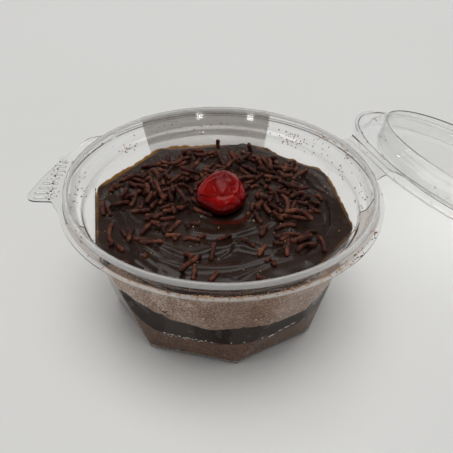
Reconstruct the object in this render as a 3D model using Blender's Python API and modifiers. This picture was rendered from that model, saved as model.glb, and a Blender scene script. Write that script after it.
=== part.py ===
"""Layered chocolate cake in a clear hinged-lid tub, topped with fudge, sprinkles and a cherry.

Metres, +Z up. The origin is the centre of the tub's flat base, and +X points at the hinge.
The dimensions below are in millimetres, and MM turns them into metres.
"""
import math
import random

import bmesh
import bpy
from mathutils import Matrix, Vector

MM = 0.001

# Driving dimensions (mm, degrees)
SHEET = 0.5                 # thickness of the clear plastic
TOUCH_GAP = 0.33            # kept between the food and the tub, and between the layers
SIDES = 8
CORNER_AZIMUTH = -13.5      # one corner of the octagonal base, seen from above
ARC_STEPS = 8               # straight pieces in each eighth of the round rim
FLOOR_RADIUS = 38.8         # corner radius of the flat floor
HEEL_RADIUS = 39.9          # corner radius where the facets start, above the chamfer
HEEL_HEIGHT = 1.6
CREST_RADIUS = 48.1         # upper corners of the facets, on the round wall
CREST_HEIGHT = 39.5
ARCH_RISE = 2.5             # how far each facet's arch rises above its corners
ARCH_BULGE = 0.35

# Inside of the tub's round wall, over its rolled rim and out along the flange (radius, height)
FLANGE_TOP = 47.0
FLANGE_RADIUS = 56.9
RIM_PROFILE = [(49.0, 43.7), (50.9, 44.9), (51.8, 47.0), (53.3, 50.9), (53.8, 51.4),
               (54.4, 51.45), (54.95, 50.8), (55.05, FLANGE_TOP), (FLANGE_RADIUS, FLANGE_TOP)]
FLANGE_ROOT = 55.7          # plates that join the flange start at this radius
PLATE_DROP = 0.48           # and this far below its top
PLATE_THICKNESS = 0.44

# Underside of the closed lid, from its flange over the rim and the plug ring to its middle
LID_FLANGE = 47.3
LID_STEPS = 48
LID_PROFILE = [(57.2, LID_FLANGE), (55.4, LID_FLANGE), (55.35, 51.2), (54.9, 51.85),
               (53.3, 51.85), (52.8, 51.3), (51.3, 46.9), (50.4, 45.2), (48.5, 43.9),
               (48.1, 43.0), (47.3, 41.95), (46.5, 41.2), (45.9, 40.9), (45.5, 41.3),
               (44.9, 50.9), (44.4, 51.7), (43.4, 51.9), (0.0, 52.3)]

# Hinge: a line across the tub's flange that the open lid hangs from
HINGE_X = 61.0
HINGE_HEIGHT = 48.2
HINGE_MIDDLE_Y = 2.0
HINGE_HALF_WIDTH = 13.7
HINGE_ROD_RADIUS = 0.6
HINGE_CLEARANCE = 0.32
TUB_STRIP_FLARE = 3.0       # how much wider than the hinge the strips are at the flange
LID_STRIP_FLARE = 6.0
LID_OPEN = 202.2            # degrees from closed, with the lid's far edge near the table

# Lift tab, a flat fin at the flange: its corners seen from above (x, y, fillet radius)
TAB_CORNERS = [(-56.3, 5.0, 0.0), (-57.3, 13.9, 1.5), (-66.6, 17.6, 4.2), (-56.2, 31.2, 30.0),
               (-35.6, 51.8, 7.0), (-24.0, 51.2, 0.0)]
TAB_ROOT_AZIMUTHS = (115.0, 174.0)

# Heights of the layers, and how uneven they are
BASE_CAKE_TOP = 13.2
FUDGE_BAND_TOP = 20.6
MIDDLE_CAKE_TOP = 33.6
TOPPING_HEIGHT = 38.2
LAYER_STEPS = 32            # straight pieces round each layer
INNER_RINGS = (0.66, 0.33)  # rings of a hidden surface, as shares of the wall's radius
TOPPING_RINGS = (0.95, 0.85, 0.74, 0.63, 0.52, 0.41, 0.3, 0.16)
SWIRL_SPACING = 13.0        # from ridge to ridge of the spread fudge
SWIRL_HEIGHT = 0.55

# Label: the inner face of a seal at the back, from the flange's edge to the facets below
LABEL_AZIMUTHS = (47.8, 102.3)
LABEL_STEPS = 20
LABEL_THICKNESS = 0.3
LABEL_GAP = 0.7             # to the facets
LABEL_PROFILE = [(57.7, 49.3), (57.7, 46.2)]
LABEL_STUCK = (24.0, 16.0)  # heights between which it lies on the facets

CHERRY_CENTRE = (1.3, 3.0, 42.3)
CHERRY_RADIUS = 9.0
CHERRY_BELOW = 5.6          # from its centre down to its lowest point
CHERRY_ABOVE = 8.5          # from its centre up to the peak
CHERRY_SEAT = 1.07          # size of its seat in the fudge against the cherry

SPRINKLE_RADIUS = 0.8
SPRINKLE_LONGEST = 10.5
SPRINKLE_SHORTEST = 6.0
SPRINKLE_COUNT = 62
SPRINKLE_SPACING = 5.2
SPRINKLE_REACH = 41.5       # their middles stay within this radius
UPRIGHT_SPRINKLES = [(14.1, 39.0, 4.6), (27.0, 33.8, 3.4)]     # x, y, height above the fudge
VIEWED_AZIMUTH = -112.5     # the side with fewer sprinkles


for old in list(bpy.data.objects):
    bpy.data.objects.remove(old, do_unlink=True)

parts = bpy.data.collections.new("cake_in_a_jar")
cutters = bpy.data.collections.new("cutters")
sprinkles = bpy.data.collections.new("sprinkles")
for group in (parts, cutters, sprinkles):
    bpy.context.scene.collection.children.link(group)


def material(name, colour, roughness):
    """A plain Principled material."""
    made = bpy.data.materials.new(name)
    made.use_nodes = True
    shader = made.node_tree.nodes["Principled BSDF"]
    shader.inputs["Base Color"].default_value = (*colour, 1.0)
    shader.inputs["Roughness"].default_value = roughness
    shader.inputs["Metallic"].default_value = 0.0
    return made


clear_plastic = material("clear_plastic", (0.82, 0.85, 0.85), 0.08)
dark_cake = material("chocolate_cake", (0.075, 0.045, 0.035), 0.85)
light_cake = material("light_chocolate_cake", (0.24, 0.165, 0.13), 0.9)
fudge = material("fudge", (0.022, 0.015, 0.012), 0.3)
candied_cherry = material("candied_cherry", (0.42, 0.008, 0.008), 0.18)
label_paper = material("label_paper", (0.34, 0.33, 0.32), 0.7)


def add_object(name, builder, group, look=None, origin=(0, 0, 0)):
    """Turn a bmesh drawn in millimetres into an object with its origin at the given point."""
    bmesh.ops.recalc_face_normals(builder, faces=builder.faces)
    shift = Matrix.Translation(-Vector(origin))
    bmesh.ops.transform(builder, matrix=Matrix.Scale(MM, 4) @ shift, verts=builder.verts)
    mesh = bpy.data.meshes.new(name)
    builder.to_mesh(mesh)
    builder.free()
    made = bpy.data.objects.new(name, mesh)
    made.location = Vector(origin) * MM
    group.objects.link(made)
    if look:
        mesh.materials.append(look)
    return made


def curve_to_mesh(drawn):
    """Turn a curve object into a closed mesh object of the same name and place."""
    bpy.context.view_layer.update()
    evaluated = drawn.evaluated_get(bpy.context.evaluated_depsgraph_get())
    mesh = bpy.data.meshes.new_from_object(evaluated)
    builder = bmesh.new()
    builder.from_mesh(mesh)
    bmesh.ops.remove_doubles(builder, verts=builder.verts, dist=0.02 * MM)
    bmesh.ops.recalc_face_normals(builder, faces=builder.faces)
    builder.to_mesh(mesh)
    builder.free()
    made = bpy.data.objects.new(drawn.name + "_solid", mesh)
    made.matrix_world = drawn.matrix_world
    for group in drawn.users_collection:
        group.objects.link(made)
    bpy.data.objects.remove(drawn, do_unlink=True)
    return made


def as_cutter(made):
    """Keep a shape that only cuts or joins out of the model."""
    made.hide_render = True
    made.display_type = "WIRE"
    return made


def boolean(target, other, operation):
    """Cut a solid with another or join them."""
    step = target.modifiers.new(operation.title(), "BOOLEAN")
    step.operation = operation
    step.solver = "EXACT"
    step.object = other


def thicken(made, thickness=SHEET, side=-1.0):
    """Give a surface the thickness of a sheet: behind its faces with side -1, before them with 1."""
    step = made.modifiers.new("Sheet", "SOLIDIFY")
    step.thickness = thickness * MM
    step.offset = side
    step.use_even_offset = True
    step.use_quality_normals = True


def shade_round(made):
    made.data.shade_smooth()
    made.data.set_sharp_from_angle(angle=math.radians(35))


def polar(radius, azimuth, height=0.0):
    angle = math.radians(azimuth)
    return Vector((radius * math.cos(angle), radius * math.sin(angle), height))


def ring(radius, height, azimuths):
    return [polar(radius, azimuth, height) for azimuth in azimuths]


def bridge(builder, lower, upper):
    """Faces between two rings of vertices with the same count."""
    for index, corner in enumerate(lower):
        following = (index + 1) % len(lower)
        builder.faces.new([corner, lower[following], upper[following], upper[index]])


# Tub: octagonal floor, chamfer, facets under arched shoulders, round wall, rolled rim, flange.
# The facets are those of a flat octagon that widens and turns by half a side as it rises.

HALF_SIDE = 180.0 / SIDES
heel_azimuths = [CORNER_AZIMUTH + 2 * HALF_SIDE * side for side in range(SIDES)]
crest_azimuths = [azimuth + HALF_SIDE for azimuth in heel_azimuths]
heel_corners = ring(HEEL_RADIUS, HEEL_HEIGHT, heel_azimuths)
crest_corners = ring(CREST_RADIUS, CREST_HEIGHT, crest_azimuths)


def tub_surface():
    """The inside of the tub as one open surface, lofted from octagon to circle."""
    builder = bmesh.new()
    floor = [builder.verts.new(point) for point in ring(FLOOR_RADIUS, SHEET, heel_azimuths)]
    heel = [builder.verts.new(point) for point in heel_corners]
    crest = [builder.verts.new(point) for point in crest_corners]
    builder.faces.new(floor)
    bridge(builder, floor, heel)
    wall = []
    wall_azimuths = []
    for side in range(SIDES):
        before = crest[side - 1]
        here = crest[side]
        chord = []
        arch = []
        for step in range(1, ARC_STEPS):
            along = step / ARC_STEPS
            azimuth = crest_azimuths[side] - 2 * HALF_SIDE * (1 - along)
            swell = 1 - (2 * along - 1) ** 2
            radius = CREST_RADIUS + ARCH_BULGE * swell
            height = CREST_HEIGHT + ARCH_RISE * swell
            chord.append(builder.verts.new(before.co.lerp(here.co, along)))
            arch.append(builder.verts.new(polar(radius, azimuth, height)))
            wall_azimuths.append(azimuth)
        builder.faces.new([heel[side], heel[(side + 1) % SIDES], here])
        builder.faces.new([heel[side], before, *chord, here])
        builder.faces.new([before, chord[0], arch[0]])
        builder.faces.new([here, chord[-1], arch[-1]])
        for step in range(ARC_STEPS - 2):
            builder.faces.new([chord[step], chord[step + 1], arch[step + 1], arch[step]])
        wall += [*arch, here]
        wall_azimuths.append(crest_azimuths[side])
    for radius, height in RIM_PROFILE:
        wider = [builder.verts.new(point) for point in ring(radius, height, wall_azimuths)]
        bridge(builder, wall, wider)
        wall = wider
    return builder


def plate(name, outline, bottom):
    """A flat plate with the given outline, made to join a flange."""
    drawn = bpy.data.curves.new(name, "CURVE")
    drawn.dimensions = "2D"
    drawn.fill_mode = "BOTH"
    drawn.extrude = PLATE_THICKNESS / 2 * MM
    line = drawn.splines.new("POLY")
    line.points.add(len(outline) - 1)
    for point, (x, y) in zip(line.points, outline):
        point.co = (x * MM, y * MM, 0.0, 1.0)
    line.use_cyclic_u = True
    flat = bpy.data.objects.new(name, drawn)
    flat.location.z = (bottom + PLATE_THICKNESS / 2) * MM
    cutters.objects.link(flat)
    return as_cutter(curve_to_mesh(flat))


def arc(radius, start, end, steps):
    """Points of a horizontal arc between two azimuths."""
    turn = (end - start) / steps
    return [polar(radius, start + turn * step).to_2d() for step in range(steps + 1)]


def fillet(before, corner, after, radius, steps=5):
    """Points that round a corner of an outline."""
    inward = (before - corner).normalized()
    outward = (after - corner).normalized()
    half_angle = inward.angle(outward) / 2
    reach = radius / math.tan(half_angle)
    start = corner + inward * reach
    end = corner + outward * reach
    points = []
    for step in range(steps + 1):
        share = step / steps
        straight = start.lerp(corner, share).lerp(corner.lerp(end, share), share)
        points.append(straight)
    return points


def tab_outline():
    corners = [Vector((x, y)) for x, y, _ in TAB_CORNERS]
    outline = [corners[0]]
    for index in range(1, len(corners) - 1):
        radius = TAB_CORNERS[index][2]
        outline += fillet(corners[index - 1], corners[index], corners[index + 1], radius)
    return outline + [corners[-1]] + arc(FLANGE_ROOT, *TAB_ROOT_AZIMUTHS, 12)


def strip_outline(end_x, flare):
    """A hinge strip from the flange out to its straight end, wider where it joins the flange."""
    low = HINGE_MIDDLE_Y - HINGE_HALF_WIDTH
    high = HINGE_MIDDLE_Y + HINGE_HALF_WIDTH
    root_low = math.degrees(math.asin((low - flare) / FLANGE_ROOT))
    root_high = math.degrees(math.asin((high + flare) / FLANGE_ROOT))
    neck_x = end_x - 2.4
    neck_flare = 0.2 * flare
    outer = [(neck_x, low - neck_flare), (end_x, low), (end_x, high), (neck_x, high + neck_flare)]
    return outer + arc(FLANGE_ROOT, root_high, root_low, 8)


def lowest_point(made):
    bpy.context.view_layer.update()
    evaluated = made.evaluated_get(bpy.context.evaluated_depsgraph_get())
    return min((evaluated.matrix_world @ corner.co).z for corner in evaluated.data.vertices)


tub = add_object("tub", tub_surface(), parts, clear_plastic)
thicken(tub)
shade_round(tub)
tub.location.z = -lowest_point(tub)

plate_bottom = FLANGE_TOP - PLATE_DROP
lift_tab = plate("lift_tab", tab_outline(), plate_bottom)
tub_strip = plate("tub_strip", strip_outline(HINGE_X, TUB_STRIP_FLARE), plate_bottom)

neck = bmesh.new()
neck_height = HINGE_HEIGHT - plate_bottom - 0.1
neck_size = (HINGE_ROD_RADIUS, 2 * HINGE_HALF_WIDTH - 0.2, neck_height, 1.0)
neck_middle = Vector((HINGE_X, HINGE_MIDDLE_Y, HINGE_HEIGHT - neck_height / 2))
bmesh.ops.create_cube(neck, size=1.0, matrix=Matrix.Translation(neck_middle) @ Matrix.Diagonal(neck_size))
hinge_neck = as_cutter(add_object("hinge_neck", neck, cutters))

rod = bmesh.new()
rod_place = Matrix.Translation((HINGE_X, HINGE_MIDDLE_Y, HINGE_HEIGHT))
rod_place = rod_place @ Matrix.Rotation(math.radians(90), 4, "X")
bmesh.ops.create_cone(rod, cap_ends=True, segments=12, radius1=HINGE_ROD_RADIUS,
                      radius2=HINGE_ROD_RADIUS, depth=2 * HINGE_HALF_WIDTH, matrix=rod_place)
hinge_rod = as_cutter(add_object("hinge_rod", rod, cutters))

for piece in (lift_tab, tub_strip, hinge_neck, hinge_rod):
    boolean(tub, piece, "UNION")


# Lid: a turned shell with a flange, a cap over the tub's rim, a ring that plugs into the tub
# and a flat raised middle. It is drawn closed, and hangs from a pin on the hinge's axis.

hinge_pin = bpy.data.objects.new("hinge_pin", None)
hinge_pin.location = Vector((HINGE_X, 0, HINGE_HEIGHT)) * MM
parts.objects.link(hinge_pin)

profile = bpy.data.meshes.new("lid")
profile_points = [(radius * MM, 0.0, height * MM) for radius, height in LID_PROFILE]
profile.from_pydata(profile_points, [(i, i + 1) for i in range(len(LID_PROFILE) - 1)], [])
profile.materials.append(clear_plastic)
lid = bpy.data.objects.new("lid", profile)
parts.objects.link(lid)
turned = lid.modifiers.new("Turned", "SCREW")
turned.steps = LID_STEPS
turned.render_steps = LID_STEPS
turned.use_smooth_shade = True
turned.use_merge_vertices = True
turned.merge_threshold = 0.01 * MM
thicken(lid)

lid_strip_end = HINGE_X - HINGE_ROD_RADIUS - HINGE_CLEARANCE
lid_strip = plate("lid_strip", strip_outline(lid_strip_end, LID_STRIP_FLARE), LID_FLANGE + 0.03)
boolean(lid, lid_strip, "UNION")
for piece in (lid, lid_strip):
    piece.location -= hinge_pin.location
    piece.parent = hinge_pin
hinge_pin.rotation_euler.y = math.radians(LID_OPEN)


# Layers of cake and fudge, which fill the tub from wall to wall

def wall_radius(azimuth, height):
    """Radius of the inside of the faceted wall in one direction at one height."""
    rise = (height - HEEL_HEIGHT) / (CREST_HEIGHT - HEEL_HEIGHT)
    outline = []
    for side in range(SIDES):
        crest = crest_corners[side]
        outline.append(heel_corners[side].lerp(crest, rise).to_2d())
        outline.append(heel_corners[(side + 1) % SIDES].lerp(crest, rise).to_2d())
    direction = polar(1.0, azimuth).to_2d()
    reaches = []
    for index, start in enumerate(outline):
        edge = outline[(index + 1) % len(outline)] - start
        turn = direction.cross(edge)
        if abs(turn) < 1e-9:
            continue
        share = start.cross(direction) / turn
        reach = start.cross(edge) / turn
        if reach > 0 and -1e-6 <= share <= 1 + 1e-6:
            reaches.append(reach)
    return max(reaches)


def wave(x, y, size, phase):
    """A gentle unevenness of a layer's surface."""
    slope = math.sin(x * 0.11 + phase) * math.cos(y * 0.09 - 1.7 * phase)
    return size * (slope + 0.4 * math.sin(0.21 * (x + y) + 3.1 * phase))


def base_top(x, y):
    return BASE_CAKE_TOP + wave(x, y, 0.6, 0.4)


def band_top(x, y):
    return FUDGE_BAND_TOP + wave(x, y, 0.8, 1.9)


def middle_top(x, y):
    return MIDDLE_CAKE_TOP + wave(x, y, 0.3, 2.6)


def swirl_top(x, y):
    """The spread fudge: low ridges that curl round the middle, and an edge turned up."""
    radius = math.hypot(x, y)
    turn = math.atan2(y, x)
    ridge = math.sin(2 * math.pi * radius / SWIRL_SPACING - turn + 0.8)
    fade_in = min(radius / 14.0, 1.0)
    fade_out = min(max((44.0 - radius) / 6.0, 0.0), 1.0)
    edge = min(max((radius - 40.0) / 7.0, 0.0), 1.0)
    climb = math.exp(-((turn - math.radians(25.0)) / math.radians(14.0)) ** 2)
    return TOPPING_HEIGHT + SWIRL_HEIGHT * ridge * fade_in * fade_out + (0.4 + 0.6 * climb) * edge ** 2


def just_above(surface):
    return lambda x, y: surface(x, y) + TOUCH_GAP


def wall_ring(builder, surface):
    """Vertices where a layer's surface meets the wall, with the gap kept."""
    corners = []
    for step in range(LAYER_STEPS):
        azimuth = CORNER_AZIMUTH + 360.0 * step / LAYER_STEPS
        spot = polar(HEEL_RADIUS, azimuth)
        for _ in range(3):
            height = surface(spot.x, spot.y)
            spot = polar(wall_radius(azimuth, height) - TOUCH_GAP, azimuth)
        corners.append(builder.verts.new((spot.x, spot.y, surface(spot.x, spot.y))))
    return corners


def cover(builder, surface, edge, shares):
    """A layer's surface from its edge to the middle."""
    outer = edge
    for share in shares:
        spots = [(corner.co.x * share, corner.co.y * share) for corner in edge]
        inner = [builder.verts.new((x, y, surface(x, y))) for x, y in spots]
        bridge(builder, outer, inner)
        outer = inner
    centre = builder.verts.new((0, 0, surface(0, 0)))
    for index, corner in enumerate(outer):
        builder.faces.new([corner, outer[(index + 1) % len(outer)], centre])


def layer(name, under, over, look, over_shares=INNER_RINGS):
    """A layer between two surfaces, from wall to wall."""
    builder = bmesh.new()
    low = wall_ring(builder, under)
    high = wall_ring(builder, over)
    bridge(builder, low, high)
    cover(builder, under, low, INNER_RINGS)
    cover(builder, over, high, over_shares)
    return add_object(name, builder, parts, look)


def base_cake():
    """The lowest layer, which stands on the tub's chamfered floor."""
    builder = bmesh.new()
    heel = wall_ring(builder, lambda x, y: HEEL_HEIGHT + 0.2)
    high = wall_ring(builder, base_top)
    inset = (FLOOR_RADIUS - TOUCH_GAP) / HEEL_RADIUS
    floor = []
    for corner in heel:
        x, y, _ = corner.co * inset
        floor.append(builder.verts.new((x, y, SHEET + TOUCH_GAP)))
    builder.faces.new(floor)
    bridge(builder, floor, heel)
    bridge(builder, heel, high)
    cover(builder, base_top, high, INNER_RINGS)
    return add_object("cake_base", builder, parts, dark_cake)


base_cake()
layer("fudge_layer", just_above(base_top), band_top, fudge)
layer("cake_middle", just_above(band_top), middle_top, light_cake)
topping = layer("fudge_top", just_above(middle_top), swirl_top, fudge, TOPPING_RINGS)


# Label: a blank seal at the back that bridged the lid's edge and the tub. It stands clear of
# the closed lid, hangs from the flange's edge and is stuck to the facets below.

def label_surface():
    """The inner face of the label, lofted from the round flange to the faceted wall."""
    builder = bmesh.new()
    start, end = LABEL_AZIMUTHS
    columns = []
    for step in range(LABEL_STEPS + 1):
        azimuth = start + (end - start) * step / LABEL_STEPS
        column = [polar(radius, azimuth, height) for radius, height in LABEL_PROFILE]
        for height in LABEL_STUCK:
            column.append(polar(wall_radius(azimuth, height) + SHEET + LABEL_GAP, azimuth, height))
        columns.append([builder.verts.new(point) for point in column])
    for near, far in zip(columns, columns[1:]):
        for row in range(len(near) - 1):
            builder.faces.new([near[row], near[row + 1], far[row + 1], far[row]])
    return builder


label = add_object("label", label_surface(), parts, label_paper)
thicken(label, LABEL_THICKNESS, 1.0)


# Cherry: a dented ball drawn up to a leaning peak, sunk a little into the fudge

def cherry_shape():
    builder = bmesh.new()
    bmesh.ops.create_uvsphere(builder, u_segments=16, v_segments=12, radius=1.0)
    for point in builder.verts:
        turn = math.atan2(point.co.y, point.co.x)
        flat = math.hypot(point.co.x, point.co.y)
        dents = 0.045 * math.sin(3 * turn + 0.6) + 0.03 * math.sin(5 * turn - 1.1)
        upper = max(point.co.z, 0.0)
        width = CHERRY_RADIUS * (1 + dents * flat) * (1 - 0.2 * upper)
        lift = CHERRY_ABOVE if point.co.z > 0 else CHERRY_BELOW
        point.co = (point.co.x * width + 1.2 * upper, point.co.y * width + 1.6 * upper,
                    point.co.z * lift)
    bmesh.ops.translate(builder, vec=CHERRY_CENTRE, verts=builder.verts)
    return builder


cherry = add_object("cherry", cherry_shape(), parts, candied_cherry, origin=CHERRY_CENTRE)
shade_round(cherry)
seat = as_cutter(bpy.data.objects.new("cherry_seat", cherry.data))
seat.location = cherry.location
seat.scale = (CHERRY_SEAT, CHERRY_SEAT, CHERRY_SEAT)
cutters.objects.link(seat)
boolean(topping, seat, "DIFFERENCE")


# Sprinkles: short bent rods lying half sunk in the fudge, joined to it

def sprinkle(name, spine):
    """A rod along the given points."""
    drawn = bpy.data.curves.new(name, "CURVE")
    drawn.dimensions = "3D"
    drawn.bevel_depth = SPRINKLE_RADIUS * MM
    drawn.bevel_resolution = 1
    drawn.use_fill_caps = True
    line = drawn.splines.new("POLY")
    line.points.add(len(spine) - 1)
    for point, spot in zip(line.points, spine):
        point.co = (*(spot * MM), 1.0)
    made = bpy.data.objects.new(name, drawn)
    sprinkles.objects.link(made)
    curve_to_mesh(made)


def lying_spine(middle, heading, length, bend):
    """Three points on the fudge along a slightly bent line."""
    along = Vector((math.cos(heading), math.sin(heading)))
    across = Vector((-along.y, along.x))
    spine = []
    for share in (-0.5, 0.0, 0.5):
        spot = middle + along * length * share + across * bend * (0.25 - share ** 2)
        height = swirl_top(spot.x, spot.y) + 0.45 * SPRINKLE_RADIUS
        spine.append(Vector((*spot, height)))
    return spine


def sprinkle_places(rng):
    """Places spread evenly over the fudge, with few on the viewed side."""
    cherry_middle = Vector(CHERRY_CENTRE[:2])
    viewed = polar(1.0, VIEWED_AZIMUTH).to_2d()
    taken = [Vector((x, y)) for x, y, _ in UPRIGHT_SPRINKLES]
    places = []
    while len(places) < SPRINKLE_COUNT:
        radius = SPRINKLE_REACH * math.sqrt(rng.random())
        spot = polar(radius, rng.uniform(0.0, 360.0)).to_2d()
        sparse = spot.dot(viewed) > 14.0
        if sparse and rng.random() < 0.93:
            continue
        if (spot - cherry_middle).length < CHERRY_RADIUS + 3.2:
            continue
        if any((spot - other).length < SPRINKLE_SPACING for other in taken):
            continue
        places.append(spot)
        taken.append(spot)
    return places


rng = random.Random(12)
for number, spot in enumerate(sprinkle_places(rng)):
    from_cherry = spot - Vector(CHERRY_CENTRE[:2])
    length = SPRINKLE_LONGEST + (SPRINKLE_SHORTEST - SPRINKLE_LONGEST) * number / SPRINKLE_COUNT
    heading = rng.uniform(0.0, math.pi)
    if from_cherry.length < CHERRY_RADIUS + 9.0:
        heading = math.atan2(from_cherry.x, -from_cherry.y) + rng.uniform(-0.2, 0.2)
    elif spot.length > SPRINKLE_REACH - 6.0:
        heading = math.atan2(spot.x, -spot.y) + rng.uniform(-0.3, 0.3)
    spine = lying_spine(spot, heading, length, rng.uniform(-4.0, 4.0))
    sprinkle(f"sprinkle_{number}", spine)
for number, (x, y, height) in enumerate(UPRIGHT_SPRINKLES):
    foot = swirl_top(x, y)
    sprinkle(f"upright_{number}", [Vector((x, y, foot - 2.0)), Vector((x, y, foot + height))])

joining = topping.modifiers.new("Sprinkles", "BOOLEAN")
joining.operation = "UNION"
joining.solver = "EXACT"
joining.operand_type = "COLLECTION"
joining.collection = sprinkles
bpy.context.view_layer.update()
joined = topping.evaluated_get(bpy.context.evaluated_depsgraph_get())
joined_mesh = bpy.data.meshes.new_from_object(joined)
topping.modifiers.clear()
topping.data = joined_mesh
for made in list(sprinkles.objects):
    bpy.data.objects.remove(made, do_unlink=True)
bpy.data.collections.remove(sprinkles)
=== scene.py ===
import math
import random

import bmesh
import bpy
import numpy as np
from mathutils import Matrix, Vector, noise


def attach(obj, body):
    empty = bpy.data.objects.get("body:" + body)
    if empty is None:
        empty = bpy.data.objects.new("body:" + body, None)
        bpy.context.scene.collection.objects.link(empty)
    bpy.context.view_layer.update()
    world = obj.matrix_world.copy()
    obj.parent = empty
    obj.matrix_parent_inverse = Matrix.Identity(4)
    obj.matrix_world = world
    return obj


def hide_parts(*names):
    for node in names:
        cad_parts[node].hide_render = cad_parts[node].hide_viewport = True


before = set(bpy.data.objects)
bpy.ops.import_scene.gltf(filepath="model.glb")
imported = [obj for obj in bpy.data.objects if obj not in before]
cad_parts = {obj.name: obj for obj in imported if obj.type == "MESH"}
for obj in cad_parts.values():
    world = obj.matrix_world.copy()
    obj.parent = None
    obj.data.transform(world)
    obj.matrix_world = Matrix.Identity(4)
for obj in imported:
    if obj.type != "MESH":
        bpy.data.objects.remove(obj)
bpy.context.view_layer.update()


# Studio: a wide pale table under soft light. A large diffuser hangs above, a window-like
# panel stands low behind on the right, and four small lamps give the plastic its glints.

MM = 0.001
CAMERA_PLACE = Vector((-78.39, -189.25, 186.79))
CAMERA_RIGHT = Vector((0.9258, -0.3774, 0.0209))
CAMERA_BACK = Vector((-0.312, -0.7318, 0.606))
LIGHT_COLOUR = (1.0, 0.99, 0.97)
LIGHTS = [
    # name, place, target, width and height in metres, watts
    ("overhead_diffuser", (0.06, 0.16, 1.4), (0, 0.08, 0), 1.5, 1.3, 10.6),
    ("window_panel", (0.85, 1.05, 0.42), (0, 0, 0.04), 0.6, 0.4, 0.45),
    ("lamp_behind_left", (-0.978, -1.015, 0.386), (0, 0, 0.05), 0.12, 0.06, 0.28),
    ("lamp_behind_front", (-0.104, -1.406, 0.386), (0, 0, 0.05), 0.12, 0.06, 0.28),
    ("ceiling_lamp_left", (-0.28, 1.0, 1.3), (0, 0, 0.04), 0.07, 0.035, 0.45),
    ("ceiling_lamp_right", (0.12, 1.0, 1.3), (0, 0, 0.04), 0.07, 0.035, 0.45),
]
ROOM_SHADES = ((0.24, 0.58), (0.4, 0.23), (0.6, 0.13), (0.72, 0.25), (0.83, 0.6))
TABLE_RADIUS = 4.0
SHADER = "Principled BSDF"


def placed(name, data):
    """A new object in the scene with the given data."""
    made = bpy.data.objects.new(name, data)
    bpy.context.scene.collection.objects.link(made)
    return made


def mesh_from(name, builder, material):
    """A mesh from a finished builder, with its material."""
    mesh = bpy.data.meshes.new(name)
    builder.to_mesh(mesh)
    builder.free()
    mesh.materials.append(material)
    return mesh


def wired(tree, parts, wires):
    """Add named nodes to a tree, and link them. A part is a node's kind and its values. A
    wire runs "node.socket > node.socket", and a socket is a name or a number."""
    made = {node.name: node for node in tree.nodes}
    for name, (kind, values) in parts.items():
        made[name] = tree.nodes.new(kind)
        for key, value in values.items():
            if key == "curve":
                points = made[name].mapping.curves[0].points
                points[0].location = value[0]
                points[1].location = value[-1]
                for spot in value[1:-1]:
                    points.new(*spot)
            elif isinstance(key, int) or key in made[name].inputs:
                made[name].inputs[key].default_value = value
            else:
                setattr(made[name], key, value)
    for wire in wires:
        (source, leaving), (goal, entering) = [end.split(".") for end in wire.split(" > ")]
        leaving = int(leaving) if leaving.isdigit() else leaving
        entering = int(entering) if entering.isdigit() else entering
        tree.links.new(made[source].outputs[leaving], made[goal].inputs[entering])
    return made


def feed(tree, socket, value, node=SHADER):
    """Link a value to a socket of a material's shader."""
    tree.links.new(value, tree.nodes[node].inputs[socket])


def colour_ramp(tree, value, stops):
    """A colour that follows a value through the given stops (position, colour)."""
    made = tree.nodes.new("ShaderNodeValToRGB")
    elements = made.color_ramp.elements
    for index in (0, -1):
        elements[index].position = stops[index][0]
        elements[index].color = (*stops[index][1], 1.0)
    for position, colour in stops[1:-1]:
        elements.new(position).color = (*colour, 1.0)
    tree.links.new(value, made.inputs["Fac"])
    return made.outputs["Color"]


def height_of(tree, coordinates="Object"):
    """The vertical coordinate of the shaded point."""
    made = wired(tree, {"place": ("ShaderNodeTexCoord", {}), "split": ("ShaderNodeSeparateXYZ", {})},
                 [f"place.{coordinates} > split.0"])
    return made["split"].outputs["Z"]


def look(name, roughness, ior, specular=0.5):
    """A new material with a Principled shader, and its node tree."""
    made = bpy.data.materials.new(name)
    made.use_nodes = True
    inputs = made.node_tree.nodes[SHADER].inputs
    inputs["Roughness"].default_value = roughness
    inputs["IOR"].default_value = ior
    inputs["Specular IOR Level"].default_value = specular
    return made, made.node_tree


def unevenness_group():
    """Shared effect: fine and coarse unevenness of a surface, as a height and a mask."""
    group = bpy.data.node_groups.new("surface_unevenness", "ShaderNodeTree")
    face = group.interface
    face.new_socket("Vector", in_out="INPUT", socket_type="NodeSocketVector")
    for name, value in (("Fine Scale", 900.0), ("Coarse Scale", 120.0), ("Coarse Share", 0.5)):
        socket = face.new_socket(name, in_out="INPUT", socket_type="NodeSocketFloat")
        socket.default_value = value
    for name in ("Height", "Patches"):
        face.new_socket(name, in_out="OUTPUT", socket_type="NodeSocketFloat")
    texture = ("ShaderNodeTexNoise", {"Detail": 4.0})
    wired(group, {"in": ("NodeGroupInput", {}), "out": ("NodeGroupOutput", {}),
                  "small": texture, "large": texture, "mixed": ("ShaderNodeMix", {})},
          ["in.Vector > small.Vector", "in.Fine Scale > small.Scale",
           "in.Vector > large.Vector", "in.Coarse Scale > large.Scale",
           "in.Coarse Share > mixed.0", "small.Fac > mixed.2", "large.Fac > mixed.3",
           "mixed.0 > out.Height", "large.Fac > out.Patches"])
    return group


unevenness = unevenness_group()


def uneven(tree, fine, coarse, share):
    """Height and mask of the shared unevenness in a material, on Object coordinates."""
    values = {"node_tree": unevenness, "Fine Scale": fine, "Coarse Scale": coarse,
              "Coarse Share": share}
    made = wired(tree, {"place": ("ShaderNodeTexCoord", {}), "grain": ("ShaderNodeGroup", values)},
                 ["place.Object > grain.Vector"])
    return made["grain"].outputs["Height"], made["grain"].outputs["Patches"]


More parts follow.
